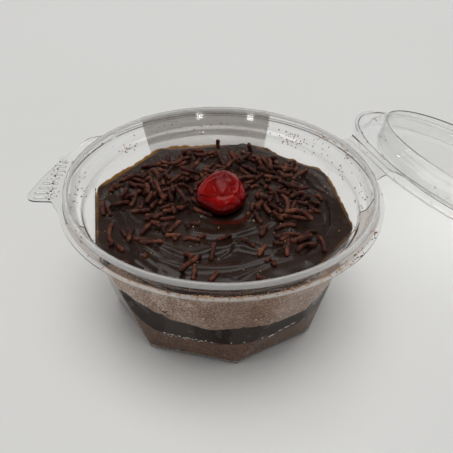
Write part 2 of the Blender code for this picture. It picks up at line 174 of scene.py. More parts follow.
def bump(tree, height, strength, distance):
    """A bump from a height into a shader's normal, distance in metres."""
    values = {"Strength": strength, "Distance": distance}
    made = wired(tree, {"bump": ("ShaderNodeBump", values)}, [f"bump.Normal > {SHADER}.Normal"])
    tree.links.new(height, made["bump"].inputs["Height"])


def grained(name, roughness, ior, specular, grain, stops, relief=None):
    """A material whose colour and bump follow the unevenness, and its tree, height and colour."""
    made, tree = look(name, roughness, ior, specular)
    height, patches = uneven(tree, *grain)
    tint = colour_ramp(tree, patches, stops)
    feed(tree, "Base Color", tint)
    if relief:
        bump(tree, height, *relief)
    return made, tree, height, tint


camera_data = bpy.data.cameras.new("camera")
camera_data.sensor_width = 36.0
camera_data.lens = 55.63
camera_data.clip_start = 0.01
camera = placed("camera", camera_data)
backward = CAMERA_BACK.normalized()
upward = backward.cross(CAMERA_RIGHT).normalized()
turned = Matrix((upward.cross(backward), upward, backward)).transposed().to_4x4()
camera.matrix_world = Matrix.Translation(CAMERA_PLACE * MM) @ turned
bpy.context.scene.camera = camera
bpy.context.scene.view_settings.view_transform = "Standard"

for name, place, target, width, height, power in LIGHTS:
    data = bpy.data.lights.new(name, "AREA")
    data.shape = "RECTANGLE"
    data.size = width
    data.size_y = height
    data.energy = power
    data.color = LIGHT_COLOUR
    light = placed(name, data)
    light.location = place
    light.rotation_euler = (Vector(target) - Vector(place)).to_track_quat("-Z", "Y").to_euler()

room = bpy.data.worlds.new("room")
bpy.context.scene.world = room
room.use_nodes = True
shades = [(position, (level, level, level * 0.995)) for position, level in ROOM_SHADES]
shades = [(0.0, (0.58, 0.58, 0.58)), *shades, (1.0, (0.95, 0.95, 0.945))]
room_shade = colour_ramp(room.node_tree, height_of(room.node_tree, "Generated"), shades)
feed(room.node_tree, "Color", room_shade, "Background")

table_look = grained("table", 0.55, 1.45, 0.08, (40.0, 3.0, 0.6),
                     [(0.3, (0.71, 0.71, 0.7)), (0.7, (0.74, 0.74, 0.735))])[0]
builder = bmesh.new()
bmesh.ops.create_circle(builder, cap_ends=True, segments=64, radius=TABLE_RADIUS)
table = placed("table", mesh_from("table", builder, table_look))


# Tub: one clear PET sheet, drawn by vacuum over an octagonal block with triangular facets,
# arched shoulders and a rolled rim, then trimmed with its flange, lift tab and hinge strip.

SHEET = 0.5
SIDES = 8
CORNER_AZIMUTH = -13.5
FLOOR_RADIUS, FLOOR_HEIGHT = 38.8, 0.5
HEEL_RADIUS, HEEL_HEIGHT = 39.9, 1.6
CREST_RADIUS, CREST_HEIGHT = 48.1, 39.5
ARCH_RISE, ARCH_BULGE = 2.5, 0.35
RIM_PROFILE = [(49.0, 43.7), (50.9, 44.9), (51.8, 47.0), (53.1, 50.4), (53.5, 51.15),
               (54.1, 51.42), (54.6, 51.15), (54.92, 50.4), (55.03, 49.2), (55.05, 47.0)]
FLANGE_RADIUS, FLANGE_HEIGHT = 56.9, 47.0
CREASE_SOFTNESS = 0.2       # how much a drawn crease is rounded
ROUNDING_STEPS = 3
CORNER_STEPS = 6
FACET_ROWS = 14
MERGE_DISTANCE = 0.004
TUB_ROUNDING = 0.8
INNER_FLANGE_RADIUS = 56.0
WALL_TOP = 41.0             # the plastic changes from the wall's to the shoulders' here
# points of a trimmed outline: x, y and how much the corner is rounded (mm)
TAB_CORNERS = [(-56.3, 5.0, 0.0), (-57.3, 13.9, 1.5), (-66.6, 17.6, 4.2), (-56.2, 31.2, 30.0),
               (-35.6, 51.8, 7.0), (-24.0, 51.2, 0.0)]
STRIP_CORNERS = [(53.7, -14.7), (58.6, -12.3), (60.9, -11.7), (60.9, 15.7), (58.6, 16.3),
                 (52.5, 18.7)]


def polar(radius, azimuth, height=0.0):
    angle = math.radians(azimuth)
    return Vector((radius * math.cos(angle), radius * math.sin(angle), height))


def azimuth_of(place):
    return math.degrees(math.atan2(place[1], place[0]))


def wall_reach(azimuth, height):
    """Radius of the inside of the faceted wall, with its creases rounded. Takes arrays."""
    rise = np.clip((height - HEEL_HEIGHT) / (CREST_HEIGHT - HEEL_HEIGHT), 0.0, 1.0)
    half = math.cos(math.pi / SIDES)
    standing = HEEL_RADIUS * half + (CREST_RADIUS - HEEL_RADIUS * half) * rise
    hanging = HEEL_RADIUS + (CREST_RADIUS * half - HEEL_RADIUS) * rise
    total = 0.0
    for side in range(2 * SIDES):
        away = np.radians(azimuth - CORNER_AZIMUTH - 22.5 * side)
        facing = np.cos(away)
        flat = standing if side % 2 else hanging
        reach = flat / np.where(facing > 0.3, facing, 0.3)
        total = total + np.exp((CREST_RADIUS - reach) / CREASE_SOFTNESS)
    return CREST_RADIUS - CREASE_SOFTNESS * np.log(total)


def outline_reach(outline, azimuth):
    """How far out a ray from the middle leaves an outline, or 0 where it misses it."""
    direction = polar(1.0, azimuth).to_2d()
    reaches = [0.0]
    for index, corner in enumerate(outline):
        start = Vector(corner)
        edge = Vector(outline[(index + 1) % len(outline)]) - start
        turn = direction.cross(edge)
        if abs(turn) < 1e-9:
            continue
        share = start.cross(direction) / turn
        reach = start.cross(edge) / turn
        if reach > 0 and -1e-6 <= share <= 1 + 1e-6:
            reaches.append(reach)
    return max(reaches)


def rounded_corner(before, corner, after, radius):
    """Points that round one corner of an outline."""
    inward = (before - corner).normalized()
    outward = (after - corner).normalized()
    reach = radius / math.tan(inward.angle(outward) / 2)
    start = corner + inward * reach
    end = corner + outward * reach
    points = []
    for step in range(CORNER_STEPS + 1):
        share = step / CORNER_STEPS
        points.append(start.lerp(corner, share).lerp(corner.lerp(end, share), share))
    return points


def tab_outline():
    corners = [Vector((x, y)) for x, y, _ in TAB_CORNERS]
    outline = [corners[0]]
    for index in range(1, len(corners) - 1):
        outline += rounded_corner(*corners[index - 1:index + 2], TAB_CORNERS[index][2])
    return outline + [corners[-1], Vector((0.0, 0.0))]


def softened(columns, size):
    """Profiles with their corners rounded. Columns are an array (column, point, xyz)."""
    made = [columns[:, 0]]
    for index in range(1, columns.shape[1] - 1):
        here = columns[:, index]
        ends = []
        for neighbour in (columns[:, index - 1], columns[:, index + 1]):
            edge = neighbour - here
            length = np.linalg.norm(edge, axis=1, keepdims=True)
            ends.append((edge, length))
        reach = np.minimum(size, 0.46 * np.minimum(ends[0][1], ends[1][1]))
        start, end = [here + edge * reach / np.maximum(length, 1e-9) for edge, length in ends]
        for step in range(ROUNDING_STEPS + 1):
            share = step / ROUNDING_STEPS
            first = start + (here - start) * share
            second = here + (end - here) * share
            made.append(first + (second - first) * share)
    made.append(columns[:, -1])
    return np.stack(made, axis=1)


def turned_grid(grid, middle, flip):
    """Points and faces of a closed ring of profiles, with a fan over its middle."""
    columns, points = grid.shape[:2]
    spots = [*grid.reshape(-1, 3), np.array(middle)]
    faces, fans = [], []
    end = 0 if flip else points - 1
    for column in range(columns):
        here, following = column * points, (column + 1) % columns * points
        for row in range(points - 1):
            faces.append([here + row, here + row + 1, following + row + 1, following + row])
        fan = [len(spots) - 1, here + end, following + end]
        fans.append(fan if flip else fan[::-1])
    return spots, faces + fans


def piece(name, points, faces, material):
    """An object from points in millimetres, its doubles merged and its scale in its mesh."""
    mesh = bpy.data.meshes.new(name)
    mesh.from_pydata([tuple(point) for point in points], [], faces)
    builder = bmesh.new()
    builder.from_mesh(mesh)
    bmesh.ops.remove_doubles(builder, verts=builder.verts, dist=MERGE_DISTANCE)
    bmesh.ops.transform(builder, matrix=Matrix.Scale(MM, 4), verts=builder.verts)
    builder.to_mesh(mesh)
    builder.free()
    mesh.materials.append(material)
    mesh.shade_smooth()
    return placed(name, mesh)


def settled(made):
    """The same object with its modifiers turned into plain mesh."""
    bpy.context.view_layer.update()
    evaluated = made.evaluated_get(bpy.context.evaluated_depsgraph_get())
    mesh = bpy.data.meshes.new_from_object(evaluated)
    mesh.name = made.name
    made.modifiers.clear()
    made.data = mesh
    return made


def sheet_of(made, thickness=SHEET):
    """Give a surface the sheet's thickness behind its faces, and sharp trimmed edges."""
    step = made.modifiers.new("Sheet", "SOLIDIFY")
    step.thickness = thickness * MM
    step.offset = -1.0
    step.use_even_offset = True
    step.use_quality_normals = True
    settled(made)
    made.data.set_sharp_from_angle(angle=math.radians(50))
    return made


def clear_plastic(name, tint, scuffs, ior, clearness=1.0, roughness=0.03):
    """Clear sheet that lets lamps through, with faint drawing waves and scuffs."""
    made, tree = look(name, roughness, ior)
    tree.nodes[SHADER].inputs["Base Color"].default_value = (*tint, 1.0)
    tree.nodes[SHADER].inputs["Transmission Weight"].default_value = clearness
    if scuffs:
        bump(tree, uneven(tree, 500.0, 55.0, 0.93)[0], scuffs, 0.00012)
    wired(tree, {"lamp": ("ShaderNodeLightPath", {}),
                 "through": ("ShaderNodeBsdfTransparent", {"Color": (0.96, 0.963, 0.963, 1.0)}),
                 "either": ("ShaderNodeMixShader", {})},
          ["lamp.Is Shadow Ray > either.0", f"{SHADER}.0 > either.1", "through.0 > either.2",
           "either.0 > Material Output.Surface"])
    return made


def rescaled(tree, value, low, high, to_low=0.0, to_high=1.0):
    """A value carried from one range to another."""
    values = {"From Min": low, "From Max": high, "To Min": to_low, "To Max": to_high}
    made = wired(tree, {"range": ("ShaderNodeMapRange", values)}, [])["range"]
    tree.links.new(value, made.inputs["Value"])
    return made.outputs["Result"]


tub_plastic = clear_plastic("tub_plastic", (0.985, 0.99, 0.99), 0.012, 1.46, roughness=0.07)
tree = tub_plastic.node_tree
# Lighter and darker bands are painted into the plastic's tint by height over the rim: painted
# highlights and painted shade lines where its beads bend.
rim_shade_bands = colour_ramp(tree, rescaled(tree, height_of(tree), 0.042, 0.0515),
                          [(0.02, (0.99, 0.99, 0.99)), (0.1, (0.87, 0.87, 0.865)),
                           (0.2, (1.0, 1.0, 1.0)), (0.42, (0.97, 0.97, 0.97)),
                           (0.52, (1.0, 1.0, 1.0)), (0.68, (0.84, 0.84, 0.835)),
                           (0.8, (1.0, 1.0, 1.0)), (0.9, (0.9, 0.9, 0.895))])
feed(tree, "Base Color", rim_shade_bands)
wall_plastic = clear_plastic("tub_wall_plastic", (0.99, 0.985, 0.975), 0.05, 1.16)
# The rim's crest is milky white: partly whitening of the drawn plastic, partly a painted highlight
# along the crest.
whitened_and_highlit_plastic = clear_plastic("tub_rim_whitened_and_highlit", (0.84, 0.835, 0.825), 0.0, 1.4, 0.72, 0.26)
flange_plastic = clear_plastic("tub_flange_hazed", (0.72, 0.69, 0.66), 0.0, 1.3, 0.7, 0.2)
thin_plastic = clear_plastic("tub_thin_plastic", (0.97, 0.96, 0.95), 0.0, 1.14)
# The inside of the rim over the front half gets a darker, warmer tint, which darkens the view
# through it to the topping.
front_rim_darkened_plastic = clear_plastic("tub_rim_front_darkened", (0.7, 0.65, 0.62), 0.0, 1.12)

tab_line = tab_outline()
strip_line = [Vector(corner) for corner in STRIP_CORNERS] + [Vector((0.0, 0.0))]
trimmed_azimuths = [azimuth_of(corner) % 360.0 for corner in [*tab_line[:-1], *strip_line[:-1]]]
standing_shares = [0, 0.012, 0.03, 0.06, 0.12, 0.3, 0.5, 0.7, 0.88, 0.94, 0.97, 0.988]
hanging_shares = {0, 0.01, 0.022, 0.978, 0.99} | {step / 26 for step in range(1, 26)}

columns = []
for side in range(SIDES):
    heel_azimuth = CORNER_AZIMUTH + 45.0 * side
    floor_here, floor_next = [polar(FLOOR_RADIUS, heel_azimuth + turn, FLOOR_HEIGHT)
                              for turn in (0.0, 45.0)]
    heel_here, heel_next = [polar(HEEL_RADIUS, heel_azimuth + turn, HEEL_HEIGHT)
                            for turn in (0.0, 45.0)]
    crest_here, crest_next = [polar(CREST_RADIUS, heel_azimuth + turn, CREST_HEIGHT)
                              for turn in (22.5, 67.5)]
    for share in standing_shares:
        foot = [floor_here.lerp(floor_next, share), heel_here.lerp(heel_next, share)]
        columns.append((foot, crest_here, crest_here, heel_azimuth + 22.5))
    shares = set(hanging_shares)
    for azimuth in trimmed_azimuths:
        share = ((azimuth - heel_azimuth - 22.5) % 360.0) / 45.0
        if 0.0 < share < 1.0:
            shares.add(share)
    for share in sorted(shares):
        swell = 1 - (2 * share - 1) ** 2
        azimuth = heel_azimuth + 22.5 + 45.0 * share
        arch = polar(CREST_RADIUS + ARCH_BULGE * swell, azimuth, CREST_HEIGHT + ARCH_RISE * swell)
        columns.append(([floor_next, heel_next], crest_here.lerp(crest_next, share), arch, azimuth))

profiles = []
for foot, chord, arch, azimuth in columns:
    edge = max(FLANGE_RADIUS, outline_reach(tab_line, azimuth), outline_reach(strip_line, azimuth))
    rim = [polar(radius, azimuth, height) for radius, height in RIM_PROFILE]
    across = [polar(INNER_FLANGE_RADIUS + (edge - INNER_FLANGE_RADIUS) * step / 4, azimuth,
                    FLANGE_HEIGHT) for step in range(5)]
    profiles.append([polar(0.0, azimuth, FLOOR_HEIGHT), *foot, chord, arch, *rim, *across])
profiles = np.array([[tuple(point) for point in profile] for profile in profiles])
profiles[:, 0, :2] = profiles[:, 1, :2] * 0.9
rounded = softened(profiles, TUB_ROUNDING)

# The long straight run up each facet gets rows of its own, and its creases are rounded
heel_end = 1 + 2 * (ROUNDING_STEPS + 1)
heel, crest = rounded[:, heel_end - 1], rounded[:, heel_end]
rows = [rounded[:, :heel_end]]
for step in range(1, FACET_ROWS):
    share = step / FACET_ROWS
    rows.append((heel * (1 - share) + crest * share)[:, None])
rows.append(rounded[:, heel_end:])
tub_grid = np.concatenate(rows, axis=1)
height = tub_grid[:, :, 2]
reach = np.hypot(tub_grid[:, :, 0], tub_grid[:, :, 1])
azimuth = np.degrees(np.arctan2(tub_grid[:, :, 1], tub_grid[:, :, 0]))
rise = (height - HEEL_HEIGHT) / (CREST_HEIGHT - HEEL_HEIGHT)
facet = np.clip(rise / 0.05, 0, 1) * np.clip((1 - rise) / 0.05, 0, 1)
facet[:, :5] = 0.0
facet[:, 28:] = 0.0
scale = 1 + facet * (wall_reach(azimuth, height) / reach - 1)
tub_grid[:, :, 0] *= scale
tub_grid[:, :, 1] *= scale

WALL, RIM, FLANGE, THIN, FRONT_RIM_DARKENED = 1, 2, 3, 4, 5
tub_shell = sheet_of(piece("tub_shell", *turned_grid(tub_grid, (0.0, 0.0, FLOOR_HEIGHT), True),
                           tub_plastic))
for material in (wall_plastic, whitened_and_highlit_plastic, flange_plastic, thin_plastic, front_rim_darkened_plastic):
    tub_shell.data.materials.append(material)
for face in tub_shell.data.polygons:
    radius = math.hypot(face.center.x, face.center.y) / MM
    level = face.center.z / MM
    azimuth = azimuth_of(face.center)
    if level < WALL_TOP:
        face.material_index = WALL
    elif level > 49.4 and radius > 52.6:
        face.material_index = RIM
    elif radius < 55.4 and azimuth < -30:
        face.material_index = FRONT_RIM_DARKENED
    elif level > 47.1 and radius > 54.3:
        face.material_index = THIN
    elif -152 < azimuth < -66:
        face.material_index = FLANGE
lowest = min(corner.co.z for corner in tub_shell.data.vertices)
tub_shell.data.transform(Matrix.Translation((0, 0, -lowest)))
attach(tub_shell, "tub_with_cake")
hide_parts("tub")


# Hinge bend: the same sheet, creased upward at the end of the tub's strip, where the lid's
# strip hangs from it.

HINGE_X, HINGE_HEIGHT = 61.0, 48.2
HINGE_LOW_Y, HINGE_HIGH_Y = -11.7, 15.7
BEND_PROFILE = [(60.6, 46.96), (60.98, 47.12), (61.22, 47.45), (61.38, 47.85), (61.56, 48.2),
                (61.8, 48.42)]
BEND_STEPS, BEND_THICKNESS = 24, 0.3
BEND_FOOT_X = 60.85


def sheet_faces(columns, rows):
    """Faces of an open grid of points."""
    corners = [column * rows + row for column in range(columns - 1) for row in range(rows - 1)]
    return [[corner, corner + 1, corner + rows + 1, corner + rows] for corner in corners]


bend_points = []
for step in range(BEND_STEPS + 1):
    share = step / BEND_STEPS
    y = HINGE_LOW_Y + 0.05 + (HINGE_HIGH_Y - HINGE_LOW_Y - 0.1) * share
    pinch = 1 - 0.25 * abs(2 * share - 1) ** 6
    for x, z in BEND_PROFILE:
        bend_points.append((BEND_FOOT_X + (x - BEND_FOOT_X) * pinch, y,
                            FLANGE_HEIGHT + (z - FLANGE_HEIGHT) * pinch))
bend_faces = sheet_faces(BEND_STEPS + 1, len(BEND_PROFILE))
hinge_bend = sheet_of(piece("hinge_bend", bend_points, bend_faces, thin_plastic),
                      BEND_THICKNESS)
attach(hinge_bend, "tub_with_cake")
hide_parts("tub")


# Tab ribs: grip ribs pressed up in the lift tab, in two columns on each side of a curved
# crease. Each is a low rounded bar of the same sheet.

RIB_COUNT, RIB_WIDTH, RIB_HEIGHT = 9, 0.85, 0.5
CREASE_LINE = [(-47.6, 41.6), (-50.7, 35.0), (-53.6, 27.6), (-56.2, 20.4), (-58.0, 14.9)]


def geometry_tree(name, inputs, parts, wires):
    """A Geometry Nodes tree that ends in real geometry with its material set."""
    tree = bpy.data.node_groups.new(name, "GeometryNodeTree")
    for label, kind in [*inputs, ("Material", "Material")]:
        tree.interface.new_socket(label, in_out="INPUT", socket_type=f"NodeSocket{kind}")
    tree.interface.new_socket("Result", in_out="OUTPUT", socket_type="NodeSocketGeometry")
    wired(tree, {"in": ("NodeGroupInput", {}), "out": ("NodeGroupOutput", {}), **parts,
                 "real": ("GeometryNodeRealizeInstances", {}),
                 "paint": ("GeometryNodeSetMaterial", {})},
          [*wires, "in.Material > paint.Material", "paint.Geometry > out.Result"])
    return tree


def bar_tree(name, inputs, count, sides, ends, parts, wires):
    """Geometry nodes: a smooth round bar along each line of a mesh, drawn in at its ends."""
    return geometry_tree(name, [("Lines", "Geometry"), *inputs], {
        "lines": ("GeometryNodeMeshToCurve", {}),
        "even": ("GeometryNodeResampleCurve", {"Count": count}),
        "outline": ("GeometryNodeCurvePrimitiveCircle", {"Resolution": sides}),
        "along": ("GeometryNodeSplineParameter", {}),
        "taper": ("ShaderNodeFloatCurve", {"curve": ends}),
        "swept": ("GeometryNodeCurveToMesh", {"Fill Caps": True}),
        "moved": ("GeometryNodeSetPosition", {}),
        "smooth": ("GeometryNodeSetShadeSmooth", {}),
        **parts,
    }, ["in.Lines > lines.Mesh", "lines.Curve > even.Curve", "even.Curve > swept.Curve",
        "outline.Curve > swept.Profile Curve", "along.Factor > taper.Value",
        "taper.Value > swept.Scale", *wires, "swept.Mesh > moved.Geometry",
        "moved.Geometry > smooth.Geometry", "smooth.Geometry > real.Geometry",
        "real.Geometry > paint.Geometry"])


def math_part(operation, *numbers):
    """A Math node, with the numbers of its last inputs."""
    return "ShaderNodeMath", {"operation": operation, **dict(enumerate(numbers, 1))}


def grown(name, points, edges, tree, values):
    """An object that a Geometry Nodes tree grows on the given points and edges."""
    mesh = bpy.data.meshes.new(name)
    mesh.from_pydata(points, edges, [])
    made = placed(name, mesh)
    growth = made.modifiers.new("Growth", "NODES")
    growth.node_group = tree
    for socket in tree.interface.items_tree:
        if socket.name in values:
            growth[socket.identifier] = values[socket.name]
    return settled(made)


def along_line(line, share):
    """The point at a share of an open line's length, and the line's direction there."""
    points = [Vector(point) for point in line]
    lengths = [(after - before).length for before, after in zip(points, points[1:])]
    left = share * sum(lengths)
    for index, length in enumerate(lengths):
        if left <= length or index == len(lengths) - 1:
            spot = points[index].lerp(points[index + 1], left / length)
            return spot, (points[index + 1] - points[index]).normalized()
        left -= length


rib_lines = []
for number in range(1, RIB_COUNT + 1):
    share = 0.05 + 0.9 * number / RIB_COUNT
    spot, heading = along_line(CREASE_LINE, share)
    outward = Vector((-heading.y, heading.x))
    if outward.dot(spot) < 0:
        outward = -outward
    outward = (outward + spot.normalized()).normalized()
    room_out = outline_reach(tab_line, azimuth_of(spot)) - spot.length
    inner = spot - outward * 0.6
    rib_lines.append([inner, inner - outward * max(min(2.6, inner.length - 57.9), 0.5)])
    if number >= 2:
        outer = spot + outward * 0.7
        rib_lines.append([outer, outer + outward * max(room_out - 2.6, 0.6)])
crease = [along_line(CREASE_LINE, step / 6)[0] for step in range(7)]
rib_lines += [list(pair) for pair in zip(crease, crease[1:])]
rib_points = [(point.x * MM, point.y * MM, FLANGE_HEIGHT * MM)
              for line in rib_lines for point in line]
rib_tree = bar_tree(
    "grip_ribs", [("Width", "Float"), ("Height", "Float")], 14, 10,
    [(0.0, 0.12), (0.12, 1.0), (0.88, 1.0), (1.0, 0.12)],
    {"halved": math_part("MULTIPLY", 0.5), "place": ("GeometryNodeInputPosition", {}),
     "split": ("ShaderNodeSeparateXYZ", {}), "above": math_part("SUBTRACT", FLANGE_HEIGHT * MM),
     "ratio": math_part("DIVIDE"), "lowered": math_part("MULTIPLY"),
     "raised": math_part("ADD", FLANGE_HEIGHT * MM), "joined": ("ShaderNodeCombineXYZ", {})},
    ["in.Width > halved.0", "halved.0 > outline.Radius", "place.0 > split.0", "split.Z > above.0",
     "in.Height > ratio.0", "halved.0 > ratio.1", "above.0 > lowered.0", "ratio.0 > lowered.1",
     "lowered.0 > raised.0", "split.X > joined.X", "split.Y > joined.Y", "raised.0 > joined.Z",
     "joined.0 > moved.Position"])
tab_ribs = grown("tab_ribs", rib_points, [(2 * i, 2 * i + 1) for i in range(len(rib_lines))],
                 rib_tree, {"Width": RIB_WIDTH * MM, "Height": RIB_HEIGHT * MM,
                            "Material": tub_plastic})
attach(tab_ribs, "tub_with_cake")


# Cake base: dark, moist chocolate sponge pressed into the bottom of the tub. Its sides lie
# against the clear wall, with pores where the crumb doesn't touch it.

LAYER_COLUMNS = 640
LAYER_LAP = 0.25            # how far a layer starts below the top edge of the one under it
EDGE_INSET = 0.35           # how far a layer's upper and lower edges stay off the wall
BASE_FOOT, BASE_FOOT_RADIUS, BASE_SIDE_FOOT = 0.56, 35.6, 1.7
LINE_RADIUS = 44.0          # where the unevenness of the layers' edges is read
BASE_CAKE_TOP = 13.2
FUDGE_BAND_TOP = 20.6
MIDDLE_CAKE_TOP = 33.6
INTO_WALL = 0.07
BASE_LINE = [(-162.1, 18.2), (-155.7, 14.6), (-149.9, 12.7), (-142.9, 12.7), (-133.9, 12.3),
             (-124.9, 12.0), (-114.1, 12.7), (-102.3, 11.6), (-96.3, 12.3), (-88.8, 11.6),
             (-78.4, 10.9), (-68.8, 11.9), (-57.2, 13.0)]
BAND_LINE = [(-161.2, 24.6), (-153.3, 23.1), (-143.9, 22.8), (-133.0, 23.0), (-123.7, 22.1),
             (-115.0, 20.9), (-107.5, 20.5), (-99.4, 20.4), (-91.4, 20.6), (-81.0, 19.9),
             (-71.2, 19.9), (-57.2, 18.9), (-48.7, 19.7)]


def wave(x, y, size, phase):
    """A gentle unevenness of a layer's surface. Takes arrays."""
    slope = np.sin(x * 0.11 + phase) * np.cos(y * 0.09 - 1.7 * phase)
    return size * (slope + 0.4 * np.sin(0.21 * (x + y) + 3.1 * phase))


def base_top(x, y):
    return BASE_CAKE_TOP + wave(x, y, 0.6, 0.4)


def band_top(x, y):
    return FUDGE_BAND_TOP + wave(x, y, 0.8, 1.9)


def middle_top(x, y):
    return MIDDLE_CAKE_TOP + wave(x, y, 0.3, 2.6)


def speckle(points, scale, seed):
    """Noise between -1 and 1 at points in millimetres."""
    shift = Vector((seed * 7.3, seed * 3.1, seed * 5.7))
    return np.array([noise.noise(Vector(point) * scale + shift) for point in points])


def round_middle(reach, azimuths):
    """The x and y of points at a reach and azimuth from the middle. Takes arrays."""
    turns = np.radians(azimuths)
    return reach * np.cos(turns), reach * np.sin(turns)


def ring(reach, azimuths, level):
    """Points round the middle at a level, as an array (azimuth, xyz)."""
    x, y = round_middle(reach, azimuths)
    return np.stack([x, y, level + 0 * x], 1)


def edge_height(azimuths, surface, line, ragged, seed):
    """Where a layer's top meets the wall: the measured line at the front, ragged all round."""
    plain = surface(*round_middle(LINE_RADIUS, azimuths))
    wrapped = (azimuths + 180.0) % 360.0 - 180.0
    seen = np.interp(wrapped, [a for a, _ in line], [z for _, z in line])
    near = np.clip((wrapped + 172) / 10, 0, 1) * np.clip((-38 - wrapped) / 12, 0, 1)
    plain = plain * (1 - near) + seen * near
    spots = ring(LINE_RADIUS, azimuths, 0.0)
    small = speckle(spots, 0.35, seed) * ragged + speckle(spots, 1.1, seed + 1) * ragged * 0.6
    return plain + small


def inner_rings(azimuths, edge, surface, shares):
    """Rings of a layer's upper or lower face, which rises to its edge near the wall."""
    rings = []
    for share in shares:
        x, y = round_middle(wall_reach(azimuths, edge) * share, azimuths)
        plain = surface(x, y)
        rings.append(np.stack([x, y, plain + (edge - plain) * max(share - 0.6, 0) / 0.4], 1))
    return rings


def closed_block(name, grid, top, bottom, material, sides_reversed):
    """A closed block from rings of points, with all its faces turned outward at the end."""
    points, faces = turned_grid(grid, (0.0, 0.0, top), False)
    if sides_reversed:
        faces = [face[::-1] if len(face) == 4 else face for face in faces]
    points.append(np.array((0.0, 0.0, bottom)))
    columns, rows = grid.shape[:2]
    for column in range(columns):
        ends = [column * rows, (column + 1) % columns * rows]
        faces.append([len(points) - 1, *(ends[::-1] if sides_reversed else ends)])
    made = piece(name, points, faces, material)
    builder = bmesh.new()
    builder.from_mesh(made.data)
    bmesh.ops.recalc_face_normals(builder, faces=builder.faces)
    builder.to_mesh(made.data)
    builder.free()
    return made


def layer_block(name, low, high, under, over, step, pores, material, seed, foot=None):
    """A closed block of cake or fudge, its side against the wall between two edge lines.
    A pore is a noise's scale, its depth, the threshold where it opens and a seed."""
    azimuths = layer_azimuths
    count = max(int((high - low).max() / step), 3)
    if foot:
        grid = [ring(foot[0] * share, azimuths, foot[1]) for share in (0.5, 1.0)]
        grid.append(ring(wall_reach(azimuths, low) * 0.972, azimuths, foot[1] + 0.3))
    else:
        grid = inner_rings(azimuths, low, under, (0.3, 0.6, 0.85))
    for row in range(count + 1):
        level = low + (high - low) * row / count
        reach = wall_reach(azimuths, level) + INTO_WALL
        spots = ring(reach, azimuths, level)
        deep = np.zeros(len(azimuths))
        for scale, depth, threshold, number in pores:
            grain = speckle(spots, scale, seed + number)
            deep = np.maximum(deep, np.clip((grain - threshold) / 0.25, 0, 1) * depth)
        inset = EDGE_INSET if row in (0, count) else 0.0
        grid.append(ring(reach - deep - inset, azimuths, level))
    grid += inner_rings(azimuths, high, over, (0.93, 0.8, 0.5, 0.2))
    middle = np.array(0.0)
    bottom = foot[1] if foot else float(under(middle, middle))
    return closed_block(name, np.stack(grid, 1), float(over(middle, middle)), bottom, material, True)


def mixed(tree, share, first, second):
    """Two values mixed by a fixed share."""
    made = wired(tree, {"mixed": ("ShaderNodeMix", {0: share})}, [])["mixed"]
    tree.links.new(first, made.inputs[2])
    tree.links.new(second, made.inputs[3])
    return made.outputs[0]


def marked(tree, name):
    """The number that a piece's points carry under a name."""
    values = {"attribute_name": name}
    return wired(tree, {"mark": ("ShaderNodeAttribute", values)}, [])["mark"].outputs["Fac"]


def blended(tree, share, colour, other):
    """A colour that goes over to another, plain one by a share."""
    values = {"data_type": "RGBA", 7: (*other, 1.0)}
    made = wired(tree, {"mixed": ("ShaderNodeMix", values)}, [])["mixed"]
    tree.links.new(share, made.inputs[0])
    tree.links.new(colour, made.inputs[6])
    return made.outputs[2]


def crumb_look(name, colours, roughness, grain, wetness):
    """Sponge crumb: grains of four colours, open pores, and marked patches that are darker."""
    made, tree = look(name, roughness, 1.4, 0.06)
    height, patches = uneven(tree, grain, 110.0, 0.42)
    pores = wired(tree, {"place": ("ShaderNodeTexCoord", {}),
                         "cells": ("ShaderNodeTexVoronoi", {"Scale": grain * 1.3})},
                  ["place.Object > cells.Vector"])["cells"]
    crumb = mixed(tree, 0.3, height, pores.outputs["Distance"])
    tint = colour_ramp(tree, crumb, list(zip((0.33, 0.44, 0.5, 0.58), colours)))
    feed(tree, "Base Color", blended(tree, marked(tree, "soaked"), tint, colours[0]))
    feed(tree, "Roughness", rescaled(tree, patches, 0.4, 0.65, wetness, roughness))
    bump(tree, crumb, 0.7, 0.0006)
    return made


layer_azimuths = np.arange(LAYER_COLUMNS) * 360.0 / LAYER_COLUMNS - 180.0
base_edge = edge_height(layer_azimuths, base_top, BASE_LINE, 0.35, 3)
dark_crumb = crumb_look("dark_chocolate_crumb", [(0.055, 0.027, 0.018), (0.12, 0.069, 0.049),
                                                 (0.165, 0.095, 0.065), (0.21, 0.138, 0.106)],
                        0.75, 1300.0, 0.4)
base_side_foot = np.full(LAYER_COLUMNS, BASE_SIDE_FOOT)
cake_base = layer_block("base_sponge", base_side_foot, base_edge, None, base_top, 0.45,
                        [(0.3, 0.4, 0.42, 0), (0.9, 0.3, 0.42, 1)], dark_crumb, 11,
                        foot=(BASE_FOOT_RADIUS, BASE_FOOT))
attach(cake_base, "tub_with_cake")
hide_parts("cake_base")


# Fudge band: thick black fudge spread over the base sponge and squeezed against the wall.
# It is glossy where it was pressed flat. In a few blocks it is painted greyer, a painted
# reflection of the wall where the fudge stands off it.

WALL_REFLECTION_BLOCKS = [(-138.0, -124.0), (-107.0, -92.0), (-66.0, -52.0), (20.0, 60.0), (120.0, 150.0)]

fudge_look, tree, height, tint = grained(
    "spread_fudge", 0.3, 1.5, 0.08, (420.0, 75.0, 0.6),
    [(0.44, (0.015, 0.0066, 0.004)), (0.56, (0.021, 0.01, 0.0064))], (0.15, 0.0005))
